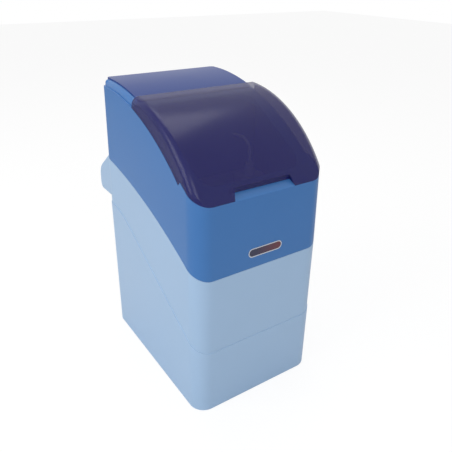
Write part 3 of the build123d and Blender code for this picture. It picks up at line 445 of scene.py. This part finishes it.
def straight_bar(mesh, ring_at, stations):
    """Closed bar across the cabinet from the rings at its stations."""
    rings = [[mesh.verts.new(point) for point in ring_at(*station)] for station in stations]
    for left, right in zip(rings, rings[1:]):
        for step in range(len(left)):
            after = (step + 1) % len(left)
            mesh.faces.new((left[step], right[step], right[after], left[after]))
    mesh.faces.new(rings[0])
    mesh.faces.new(list(reversed(rings[-1])))


cowl_half = 115.6 * mm
cowl_back = body_half_depth + 40.0 * mm
cowl_top = 339.0 * mm
cowl_low = 269.0 * mm
cowl_edge = 308.0 * mm
cowl_end_round = 5.0 * mm
cowl_end_wall = 14.0 * mm
cowl_round_steps = 5
cowl_spans = 6
cowl_corners = (16.0 * mm, 11.0 * mm)
throat_gap = 0.6 * mm
side_level_count = 40
hole_sides = 48
# Across, height and radius of the holes for the inlet, outlet, drain and overflow.
back_holes = (
    (-38.0 * mm, 300.0 * mm, 12.0 * mm),
    (38.0 * mm, 300.0 * mm, 12.0 * mm),
    (0.0, 300.0 * mm, 6.5 * mm),
    (84.0 * mm, 294.0 * mm, 9.5 * mm),
)


def cowl_ring(x, inset):
    """Side view of the cowl at a place across the back, drawn in by an inset."""
    beyond = max(0.0, abs(x) - (body_half_width - rear_corner))
    start = body_half_depth - rear_corner + math.sqrt(max(0.0, rear_corner**2 - beyond**2)) - wall / 2
    slope = (cowl_top - cowl_edge) / (cowl_back - body_half_depth)
    edge = cowl_edge - inset * (1 - slope)
    corners = [
        (start, cowl_low + inset, 0),
        (cowl_back - inset, cowl_low + inset, cowl_corners[1]),
        (cowl_back - inset, edge, cowl_corners[0]),
        (start, edge + slope * (cowl_back - inset - start), 0),
    ]
    return [(x, y, z) for y, z in rounded(corners, cowl_round_steps)]


def make_base():
    """Tub with its cowl, the throat in the cowl and the holes in the back."""
    mesh = bmesh.new()
    levels = even_levels(-body_half_depth + front_corner, body_half_depth - rear_corner, side_level_count)
    rows = ring_of(mesh, outline_columns(levels), base_section)
    skin(mesh, rows)
    mesh.faces.new([row[0] for row in rows])
    mesh.faces.new([row[-1] for row in reversed(rows)])
    base = plain_object("base_tub", mesh)
    mesh = bmesh.new()
    stations = []
    for angle in quarter(0, cowl_round_steps):
        shift = cowl_end_round * (1 - math.sin(angle))
        stations.append((cowl_half - shift, cowl_end_round * (1 - math.cos(math.pi / 2 - angle))))
    ends = [(x, inset) for x, inset in reversed(stations)]
    for step in range(cowl_spans):
        place_x = (body_half_width - rear_corner) * (1 - 2 * step / cowl_spans)
        ends.append((place_x, 0.0))
    ends += [(-x, inset) for x, inset in stations]
    straight_bar(mesh, cowl_ring, sorted(ends, key=lambda station: station[0]))
    cowl = plain_object("cowl", mesh)
    mesh = bmesh.new()
    inner_half = cowl_half - cowl_end_wall
    inner_top = cowl_edge - wall
    slope = (cowl_top - cowl_edge) / (cowl_back - body_half_depth)
    corners = [
        (body_half_depth + throat_gap, cowl_low - wall, 0),
        (cowl_back - wall, cowl_low - wall, edge_round),
        (cowl_back - wall, inner_top, cowl_corners[0] - wall),
        (body_half_depth + throat_gap, inner_top + slope * (cowl_back - wall - body_half_depth), 0),
    ]
    section = rounded(corners, cowl_round_steps)
    straight_bar(mesh, lambda x, inset: [(x, y, z) for y, z in section], [(-inner_half, 0), (inner_half, 0)])
    combined(cowl, plain_object("throat", mesh), "DIFFERENCE")
    combined(base, cowl, "UNION")
    for x, z, radius in back_holes:
        mesh = bmesh.new()
        turn = Matrix.Rotation(math.pi / 2, 4, "X")
        place = Matrix.Translation((x, body_half_depth - wall / 2, z))
        bmesh.ops.create_cone(
            mesh,
            cap_ends=True,
            segments=hole_sides,
            radius1=radius,
            radius2=radius,
            depth=4 * wall,
            matrix=place @ turn,
        )
        combined(base, plain_object("hole", mesh), "DIFFERENCE")
    return base


divider_front = -body_half_depth + 183.0 * mm
tank_places = ((-54.0 * mm, 91.5 * mm), (54.0 * mm, 91.5 * mm))
well_place = (78.0 * mm, -6.5 * mm)
tank_ring = (50.4 * mm, 53.4 * mm)
well_ring = (24.4 * mm, 27.4 * mm)
ring_top = 15.5 * mm
base = make_base()
mesh = bmesh.new()
inside = body_half_width - wall - base_draft / 3
divider_top = split_height(divider_front) - wall / 2
closed_box(mesh, (-inside, divider_front, floor_top / 2), (inside, divider_front + wall, divider_top))
for place in tank_places:
    closed_ring(mesh, place, *tank_ring, floor_top / 2, ring_top)
closed_ring(mesh, well_place, *well_ring, floor_top / 2, ring_top)
inner_walls = plain_object("inner_walls", mesh)
combined(base, inner_walls, "UNION")
smooth_finish(base)
base_blue = moulded_plastic(
    "base_blue", paint(166, 196, 228), 0.32, grain=260.0, relief=0.001 * mm, tint=0.03
)
base.data.materials.append(base_blue)
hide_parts("base_cabinet")
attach(base, "root")

# Upper housing: the deep blue moulding that drops over the base and carries the roll-top.
# A ledge along each side is the lid's track, and the curved deck behind it has a mouth for
# the salt and a wider one for the valve.
roll_y = 139.5 * mm
roll_z = 91.0 * mm
track_radius = 377.0 * mm
seam_radius = 385.0 * mm
deck_radius = 386.0 * mm
step_angle = math.radians(40.7)
rim_height = 355.6 * mm
ledge_width = 3.6 * mm
shoulder_side = 9.0 * mm
shoulder_rear = 2.0 * mm
shoulder_power = 0.7
shoulder_least = 0.6 * mm
front_facing = -0.5
lap_drop = 12.0 * mm
lap_wall = 2.0 * mm
lap_gap = 0.3 * mm
step_front = roll_y - seam_radius * math.sin(step_angle)
step_rear = roll_y - track_radius * math.sin(step_angle)
step_top = roll_z + seam_radius * math.cos(step_angle)


def drum_height(radius, y):
    """Height of a drum about the roll axis."""
    return roll_z + math.sqrt(radius**2 - (y - roll_y) ** 2)


def rim_line(y):
    """Height of the straight front rim."""
    share = (y + body_half_depth) / (step_front + body_half_depth)
    return rim_height + share * (step_top - rim_height)


def seam_height(y):
    """Height of the side wall's top edge: the front rim, a step down, then the track."""
    if y < step_front + 0.01 * mm:
        return rim_line(y)
    if y < step_rear:
        share = (y - step_front) / (step_rear - step_front)
        return step_top + share * (drum_height(track_radius, step_rear) - step_top)
    return drum_height(track_radius, y)


def deck_height(y):
    """Height of the deck, or of the front rim where that stands higher."""
    deck = drum_height(deck_radius, y)
    if y < step_rear:
        return max(deck, rim_line(y))
    return deck


def shoulder_at(ny):
    """Radius of the deck's edge: wide along the sides, small at the rear."""
    toward_rear = max(0.0, ny)
    return shoulder_side + (shoulder_rear - shoulder_side) * toward_rear**shoulder_power


shoulder_steps = 6


def top_rows(x, y, nx, ny, drop, extra):
    """Ledge and shoulder from the wall inwards, or their underside when dropped by a wall."""
    points = []
    radius = max(shoulder_at(ny) - extra, shoulder_least)
    start = ledge_width + extra
    for step in range(shoulder_steps + 1):
        angle = math.pi / 2 * step / shoulder_steps
        inset = start + radius * (1 - math.cos(angle))
        at_y = y - ny * inset
        low = seam_height(at_y if ny < front_facing else y) - drop
        high = deck_height(at_y) - drop
        lift = (high - low - radius) if high - low > radius else 0.0
        rise = lift + (high - low - lift) * math.sin(angle) if step else 0.0
        points.append((inset, low + rise))
    return points


def housing_section(x, y, nx, ny):
    """From the deck's edge out over the ledge, down the wall, round the lap and up inside."""
    seam = seam_height(y)
    split = split_height(y)
    outer = list(reversed(top_rows(x, y, nx, ny, 0.0, 0.0)))
    edge = [
        (ledge_width, outer[-1][1], 0),
        (draft_at(seam), seam, edge_round * 0.8),
        (draft_at(split), split + 0.1 * mm, edge_round),
        (wall + lap_gap + draft_at(split), split + 0.1 * mm, edge_round / 4),
        (wall + lap_gap + draft_at(split), split - lap_drop, edge_round / 4),
        (wall + lap_gap + lap_wall + draft_at(split), split - lap_drop, edge_round / 4),
        (wall + lap_gap + lap_wall + draft_at(split), split + wall, edge_round / 4),
        (wall + draft_at(split), split + 3 * wall, edge_round / 4),
        (wall + draft_at(seam), seam - wall, edge_round / 2),
        (ledge_width + wall, seam - wall, 0),
    ]
    inner = top_rows(x, y, nx, ny, wall, wall)
    return outer[:-1] + rounded(edge, 2) + inner[1:]


def mouth_columns(half_width, front, rear, corner, steps=10):
    """Places round a rounded opening in the deck, each with its outward direction."""
    places = []
    half_length = (rear - front) / 2
    middle = (rear + front) / 2
    for turn, (sx, sy) in enumerate(((1, 1), (-1, 1), (-1, -1), (1, -1))):
        for angle in quarter(turn * math.pi / 2, steps):
            nx, ny = math.cos(angle), math.sin(angle)
            x = sx * (half_width - corner) + corner * nx
            y = middle + sy * (half_length - corner) + corner * ny
            places.append((x, y, nx, ny))
    return places


def inside_mouth(mouth, x, y, grow):
    """True where a place lies in a rounded opening."""
    half_width, front, rear, corner = mouth
    dx = abs(x) - (half_width - corner)
    dy = abs(y - (front + rear) / 2) - ((rear - front) / 2 - corner)
    if dx > 0 and dy > 0:
        return math.hypot(dx, dy) < corner + grow
    return max(dx, dy) < corner + grow


def fill_deck(mesh, edge_ring, mouth_rings, mouths, grow, height_of, spacing=9.0 * mm):
    """Triangles between the deck's edge and the openings, laid on the deck's surface."""
    points = []
    edges = []
    for ring in [edge_ring, *mouth_rings]:
        first = len(points)
        points += [Vector((vert.co.x, vert.co.y)) for vert in ring]
        edges += [(first + step, first + (step + 1) % len(ring)) for step in range(len(ring))]
    ring_verts = [vert for ring in [edge_ring, *mouth_rings] for vert in ring]
    heights = {index: vert.co.z for index, vert in enumerate(ring_verts)}
    across = int(2 * body_half_width / spacing)
    along = int(2 * body_half_depth / spacing)
    edge_x = max(point.x for point in points)
    edge_y = (min(point.y for point in points), max(point.y for point in points))
    margin = spacing / 2
    for column in range(across + 1):
        for row in range(along + 1):
            x = body_half_width * (2 * column / across - 1)
            y = body_half_depth * (2 * row / along - 1)
            far = abs(x) < edge_x - margin and edge_y[0] + margin < y < edge_y[1] - margin
            corner_x = abs(x) - (edge_x - front_corner)
            corner_y = (edge_y[0] + front_corner) - y
            if corner_x > 0 and corner_y > 0 and math.hypot(corner_x, corner_y) > front_corner - margin:
                far = False
            corner_y = y - (edge_y[1] - rear_corner)
            if corner_x > 0 and corner_y > 0 and math.hypot(corner_x, corner_y) > rear_corner:
                far = False
            if far and not any(inside_mouth(mouth, x, y, grow + margin) for mouth in mouths):
                points.append(Vector((x, y)))
    ring_face = [list(range(len(edge_ring)))]
    places, _, faces, origin, _, _ = delaunay_2d_cdt(points, edges, ring_face, 1, 0.001 * mm)
    verts = []
    for index, place in enumerate(places):
        known = [number for number in origin[index] if number in heights]
        z = heights[known[0]] if known else height_of(place.y)
        verts.append(mesh.verts.new((place.x, place.y, z)))
    for face in faces:
        middle_x = sum(places[index].x for index in face) / len(face)
        middle_y = sum(places[index].y for index in face) / len(face)
        if not any(inside_mouth(mouth, middle_x, middle_y, grow) for mouth in mouths):
            mesh.faces.new([verts[index] for index in face])


salt_mouth = (89.0 * mm, -body_half_depth + 27.0 * mm, -body_half_depth + 172.0 * mm, 22.0 * mm)
valve_mouth = (96.0 * mm, -body_half_depth + 197.0 * mm, -body_half_depth + 297.0 * mm, 10.0 * mm)
lip_wall = 2.5 * mm
lip_drop = 8.0 * mm


def mouth_section(x, y, nx, ny):
    """From the deck over a rounded edge, down the lip and up its outside to the underside."""
    top = deck_height(y)
    corners = [
        (-edge_round * 1.5, deck_height(y + ny * edge_round * 1.5), 0),
        (0, top, edge_round),
        (0, top - wall - lip_drop, edge_round / 2),
        (-lip_wall, top - wall - lip_drop, edge_round / 2),
        (-lip_wall, deck_height(y + ny * lip_wall) - wall, 0),
    ]
    return rounded(corners, 3)


def make_housing():
    """Outer and inner skin, the deck with its two lipped mouths, and the upper divider."""
    mesh = bmesh.new()
    levels = even_levels(-body_half_depth + front_corner, step_front, 3)
    levels += [step_front, step_rear]
    levels += even_levels(step_rear, body_half_depth - rear_corner, side_level_count)
    rows = ring_of(mesh, outline_columns(levels), housing_section)
    skin(mesh, rows)
    mouths = (salt_mouth, valve_mouth)
    top_rings = []
    under_rings = []
    for mouth in mouths:
        mouth_rows = ring_of(mesh, mouth_columns(*mouth), mouth_section)
        skin(mesh, mouth_rows)
        top_rings.append([row[0] for row in mouth_rows])
        under_rings.append([row[-1] for row in mouth_rows])
    fill_deck(mesh, [row[0] for row in rows], top_rings, mouths, edge_round * 1.5, deck_height)
    fill_deck(mesh, [row[-1] for row in rows], under_rings, mouths, lip_wall, lambda y: deck_height(y) - wall)
    housing = plain_object("housing_shell", mesh)
    mesh = bmesh.new()
    divider_low = split_height(divider_front) + edge_round
    divider_high = deck_height(divider_front) - wall / 2
    closed_box(mesh, (-inside, divider_front, divider_low), (inside, divider_front + wall, divider_high))
    combined(housing, plain_object("upper_divider", mesh), "UNION")
    return housing


housing_sharp_angle = 38.0
housing = make_housing()
smooth_finish(housing, housing_sharp_angle)
housing_blue = moulded_plastic(
    "housing_blue", paint(56, 117, 184), 0.3, grain=260.0, relief=0.001 * mm, tint=0.03
)
housing.data.materials.append(housing_blue)
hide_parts("upper_housing")
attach(housing, "root")

# Salt lid: the roll-top door, one moulding in clear dark plastic that lets a little of the
# blue housing through. It slides on the side tracks and has a finger scoop in its front edge.


flat_angle = 0.05


def finished_copy(node, name, sharp_angle=32.0, weld=0.002 * mm):
    """Copy of a node's surface with its triangles joined and shaded smooth."""
    mesh = bmesh.new()
    mesh.from_mesh(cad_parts[node].data)
    bmesh.ops.remove_doubles(mesh, verts=mesh.verts, dist=weld)
    limit = math.radians(flat_angle)
    bmesh.ops.dissolve_limit(mesh, angle_limit=limit, verts=mesh.verts, edges=mesh.edges)
    bmesh.ops.recalc_face_normals(mesh, faces=mesh.faces)
    data = bpy.data.meshes.new(name)
    mesh.to_mesh(data)
    mesh.free()
    thing = bpy.data.objects.new(name, data)
    bpy.context.scene.collection.objects.link(thing)
    smooth_finish(thing, sharp_angle)
    return thing


panel_sharp_angle = 34.0
lid_alpha = 0.62
lid_specular = 0.38
lid = finished_copy("salt_lid", "roll_top_lid", panel_sharp_angle)
lid_smoke = moulded_plastic(
    "lid_smoke", paint(30, 26, 104), 0.22, grain=260.0, relief=0.0006 * mm, coat=0.05, tint=0.1
)
lid_smoke.node_tree.nodes["Principled BSDF"].inputs["Alpha"].default_value = lid_alpha
lid_smoke.node_tree.nodes["Principled BSDF"].inputs["Specular IOR Level"].default_value = lid_specular
lid.data.materials.append(lid_smoke)
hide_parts("salt_lid")
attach(lid, "salt_lid")

# Rear cover: a bent panel in slate blue over the valve. It follows the deck's curve, turns
# down over the back and is held there by two screws.
cover_specular = 0.22
rear_cover = finished_copy("rear_cover", "valve_cover", panel_sharp_angle)
cover_slate = moulded_plastic("cover_slate", paint(48, 72, 140), 0.34, relief=0.004 * mm)
cover_slate.node_tree.nodes["Principled BSDF"].inputs["Specular IOR Level"].default_value = cover_specular
rear_cover.data.materials.append(cover_slate)
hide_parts("rear_cover")
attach(rear_cover, "root")


# Cover screws: two steel pan heads with a cross recess, driven through the cover's flange
# into the back of the housing.
mark_stretch = 0.05
mark_smoother = 0.06
mark_rougher = 0.08


def metal(name, colour, roughness, scratches=1800.0):
    """Bare metal with fine marks along one direction."""
    material = bpy.data.materials.new(name)
    material.use_nodes = True
    nodes = material.node_tree.nodes
    links = material.node_tree.links
    shader = nodes["Principled BSDF"]
    shader.inputs["Base Color"].default_value = colour
    shader.inputs["Metallic"].default_value = 1.0
    place = nodes.new("ShaderNodeTexCoord")
    stretch = nodes.new("ShaderNodeMapping")
    stretch.inputs["Scale"].default_value = (mark_stretch, 1.0, 1.0)
    marks = nodes.new("ShaderNodeTexNoise")
    marks.inputs["Scale"].default_value = scratches
    gloss = nodes.new("ShaderNodeMapRange")
    gloss.inputs["To Min"].default_value = roughness - mark_smoother
    gloss.inputs["To Max"].default_value = roughness + mark_rougher
    links.new(place.outputs["Object"], stretch.inputs["Vector"])
    links.new(stretch.outputs["Vector"], marks.inputs["Vector"])
    links.new(marks.outputs["Fac"], gloss.inputs["Value"])
    links.new(gloss.outputs["Result"], shader.inputs["Roughness"])
    return material


screw_steel = metal("screw_steel", paint(176, 178, 182), 0.3)
head_height = 2.2 * mm
screw_half_span = 70.0 * mm
screw_sides = 40
recess_long_share = 1.1
recess_short_share = 0.22
screw_low, screw_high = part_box("cover_screws")
screw_values = {
    "Head Radius": 4.2 * mm,
    "Head Height": head_height,
    "Shank Radius": 2.0 * mm,
    "Shank Length": 9.0 * mm,
    "Half Span": screw_half_span,
    "Seat": (-screw_half_span, screw_high[1] - head_height, (screw_low[2] + screw_high[2]) / 2),
}


def screw_row_nodes(material):
    """Node group: a row of cross-recessed screw heads that face backwards."""
    group = bpy.data.node_groups.new("screw_row", "GeometryNodeTree")
    sockets = {}
    kinds = {name: "NodeSocketFloat" for name in screw_values}
    kinds["Seat"] = "NodeSocketVector"
    for name, kind in kinds.items():
        socket = group.interface.new_socket(name=name, in_out="INPUT", socket_type=kind)
        sockets[name] = socket.identifier
    group.interface.new_socket(name="Geometry", in_out="OUTPUT", socket_type="NodeSocketGeometry")
    nodes = group.nodes
    links = group.links
    given = nodes.new("NodeGroupInput")

    def product(size, share):
        node = nodes.new("ShaderNodeMath")
        node.operation = "MULTIPLY"
        links.new(size, node.inputs[0])
        node.inputs[1].default_value = share
        return node.outputs[0]

    def moved(geometry, z):
        node = nodes.new("GeometryNodeTransform")
        offset = nodes.new("ShaderNodeCombineXYZ")
        links.new(z, offset.inputs["Z"])
        links.new(offset.outputs[0], node.inputs["Translation"])
        links.new(geometry, node.inputs["Geometry"])
        return node.outputs["Geometry"]

    def rod(radius, length):
        node = nodes.new("GeometryNodeMeshCylinder")
        node.inputs["Vertices"].default_value = screw_sides
        links.new(radius, node.inputs["Radius"])
        links.new(length, node.inputs["Depth"])
        return node.outputs["Mesh"]

    half_head = product(given.outputs["Head Height"], 0.5)
    head = moved(rod(given.outputs["Head Radius"], given.outputs["Head Height"]), half_head)
    cut = nodes.new("GeometryNodeMeshBoolean")
    cut.operation = "DIFFERENCE"
    links.new(head, cut.inputs["Mesh 1"])
    long_side = product(given.outputs["Head Radius"], recess_long_share)
    short_side = product(given.outputs["Head Radius"], recess_short_share)
    for first, second in ((long_side, short_side), (short_side, long_side)):
        size = nodes.new("ShaderNodeCombineXYZ")
        links.new(first, size.inputs["X"])
        links.new(second, size.inputs["Y"])
        links.new(given.outputs["Head Height"], size.inputs["Z"])
        slot_box = nodes.new("GeometryNodeMeshCube")
        links.new(size.outputs[0], slot_box.inputs["Size"])
        links.new(moved(slot_box.outputs["Mesh"], given.outputs["Head Height"]), cut.inputs["Mesh 2"])
    half_shank = product(given.outputs["Shank Length"], -0.5)
    shank = moved(rod(given.outputs["Shank Radius"], given.outputs["Shank Length"]), half_shank)
    join = nodes.new("GeometryNodeJoinGeometry")
    links.new(cut.outputs["Mesh"], join.inputs[0])
    links.new(shank, join.inputs[0])
    line = nodes.new("GeometryNodeMeshLine")
    line.inputs["Count"].default_value = 2
    step = nodes.new("ShaderNodeCombineXYZ")
    links.new(product(given.outputs["Half Span"], 2.0), step.inputs["X"])
    links.new(step.outputs[0], line.inputs["Offset"])
    links.new(given.outputs["Seat"], line.inputs["Start Location"])
    spread = nodes.new("GeometryNodeInstanceOnPoints")
    spread.inputs["Rotation"].default_value = (-math.pi / 2, 0, 0)
    links.new(line.outputs["Mesh"], spread.inputs["Points"])
    links.new(join.outputs[0], spread.inputs["Instance"])
    real = nodes.new("GeometryNodeRealizeInstances")
    links.new(spread.outputs["Instances"], real.inputs["Geometry"])
    finish = nodes.new("GeometryNodeSetMaterial")
    finish.inputs["Material"].default_value = material
    links.new(real.outputs["Geometry"], finish.inputs["Geometry"])
    out = nodes.new("NodeGroupOutput")
    links.new(finish.outputs["Geometry"], out.inputs[0])
    return group, sockets


screw_group, screw_sockets = screw_row_nodes(screw_steel)
screws = bpy.data.objects.new("cover_screw_pair", bpy.data.meshes.new("cover_screw_pair"))
bpy.context.scene.collection.objects.link(screws)
screw_maker = screws.modifiers.new("screws", "NODES")
screw_maker.node_group = screw_group
for label, value in screw_values.items():
    screw_maker[screw_sockets[label]] = value
settle(screws)
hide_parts("cover_screws")
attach(screws, "root")

# Badge: a slim bright rim pressed into the front of the housing round a bare, glossy plate
# whose colour runs from dark navy at the left to maroon at the right.
badge_sharp_angle = 30.0
badge_run_left = -29.0 * mm
badge_run_right = 33.0 * mm
badge_navy_until = 0.25
badge_maroon_from = 0.9
badge_rim = finished_copy("badge_rim", "badge_frame", badge_sharp_angle)
badge_rim.data.materials.append(metal("badge_bright", paint(214, 218, 226), 0.2))
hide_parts("badge_rim")
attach(badge_rim, "root")

badge_plate = finished_copy("badge_plate", "badge_field", badge_sharp_angle)
badge_field = moulded_plastic("badge_field", paint(28, 30, 70), 0.14, relief=0.002 * mm, coat=0.5)
badge_nodes = badge_field.node_tree.nodes
badge_links = badge_field.node_tree.links
badge_place = badge_nodes.new("ShaderNodeTexCoord")
badge_axes = badge_nodes.new("ShaderNodeSeparateXYZ")
badge_run = badge_nodes.new("ShaderNodeMapRange")
badge_run.inputs["From Min"].default_value = badge_run_left
badge_run.inputs["From Max"].default_value = badge_run_right
badge_shade = badge_nodes.new("ShaderNodeValToRGB")
badge_shade.color_ramp.elements[0].color = paint(24, 26, 68)
badge_shade.color_ramp.elements[1].color = paint(98, 26, 44)
badge_shade.color_ramp.elements[0].position = badge_navy_until
badge_shade.color_ramp.elements[1].position = badge_maroon_from
badge_links.new(badge_place.outputs["Object"], badge_axes.inputs[0])
badge_links.new(badge_axes.outputs["X"], badge_run.inputs["Value"])
badge_links.new(badge_run.outputs["Result"], badge_shade.inputs["Fac"])
badge_links.new(badge_shade.outputs["Color"], badge_nodes["Principled BSDF"].inputs["Base Color"])
badge_plate.data.materials.append(badge_field)
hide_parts("badge_plate")
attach(badge_plate, "root")


# Resin tanks: two wound pressure bottles in natural glass fibre, with the brown resin bed,
# the white riser tube and the slotted distributor inside each.
def dress(material, *names):
    """Give the finish to nodes that keep their own shape."""
    for name in names:
        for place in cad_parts[name].material_slots:
            place.material = material


tank_glass = moulded_plastic(
    "tank_glass", paint(206, 200, 178), 0.4, grain=420.0, relief=0.08 * mm, tint=0.12
)
resin_brown = moulded_plastic(
    "resin_brown", paint(150, 92, 40), 0.55, grain=1500.0, relief=0.25 * mm, tint=0.3
)
riser_white = moulded_plastic("riser_white", paint(226, 226, 222), 0.38)
distributor_grey = moulded_plastic("distributor_grey", paint(120, 124, 130), 0.42)
dress(tank_glass, "resin_tank_left", "resin_tank_right")
dress(resin_brown, "resin_bed_left", "resin_bed_right")
dress(riser_white, "riser_tube_left", "riser_tube_right")
dress(distributor_grey, "distributor_left", "distributor_right")

# Valve: a black glass-filled manifold with a grey cap held by steel screws, and the pale
# ceramic seat and disc that route the water.
valve_black = moulded_plastic(
    "valve_black", paint(34, 35, 38), 0.46, grain=1200.0, relief=0.03 * mm, tint=0.2
)
cap_grey = moulded_plastic("cap_grey", paint(86, 90, 96), 0.42, relief=0.02 * mm)
seat_ceramic = moulded_plastic("seat_ceramic", paint(232, 226, 212), 0.18, relief=0.003 * mm, coat=0.3)
dress(valve_black, "valve_manifold")
dress(cap_grey, "valve_cap")
dress(seat_ceramic, "valve_seat", "control_disc")
dress(screw_steel, "valve_screws", "idler_retainer")

# Gear train: the white acetal control gear and idler, driven by the small turbine wheel
# that the passing water turns.
gear_white = moulded_plastic("gear_white", paint(236, 234, 226), 0.34, relief=0.008 * mm)
turbine_blue = moulded_plastic("turbine_blue", paint(60, 110, 170), 0.36, relief=0.008 * mm)
dress(gear_white, "control_gear", "idler_gear")
dress(turbine_blue, "turbine_wheel")

# Hose fittings: threaded adapters for inlet and outlet, their orange clips and black seals,
# and the white drain barb and overflow elbow with its nut.
adapter_black = moulded_plastic(
    "adapter_black", paint(40, 42, 46), 0.4, grain=1200.0, relief=0.02 * mm, tint=0.2
)
clip_orange = moulded_plastic("clip_orange", paint(214, 116, 42), 0.36, relief=0.006 * mm)
drain_white = moulded_plastic("drain_white", paint(228, 230, 232), 0.36, relief=0.008 * mm)
seal_black = moulded_plastic(
    "seal_black", paint(22, 22, 24), 0.6, grain=1500.0, relief=0.02 * mm, tint=0.2
)
dress(adapter_black, "inlet_adapter", "outlet_adapter")
dress(clip_orange, "adapter_clips", "float_stop")
dress(drain_white, "drain_barb", "overflow_elbow", "overflow_nut", "brine_valve")
dress(seal_black, "neck_seals", "adapter_seals")

# Salt side: the grey well with its cap round the brine valve, the float that shuts it, the
# clear brine line over the divider and the pierced grid that carries the salt blocks.
well_grey = moulded_plastic("well_grey", paint(196, 200, 206), 0.4, relief=0.012 * mm)
float_amber = moulded_plastic("float_amber", paint(226, 198, 120), 0.44, grain=1100.0, relief=0.03 * mm)
line_clear = moulded_plastic("line_clear", paint(216, 224, 232), 0.18, relief=0.003 * mm, coat=0.3)
grid_white = moulded_plastic("grid_white", paint(224, 228, 232), 0.42, relief=0.01 * mm)
dress(well_grey, "brine_well", "well_cap")
dress(float_amber, "brine_float")
dress(line_clear, "brine_line")
dress(grid_white, "salt_grid")
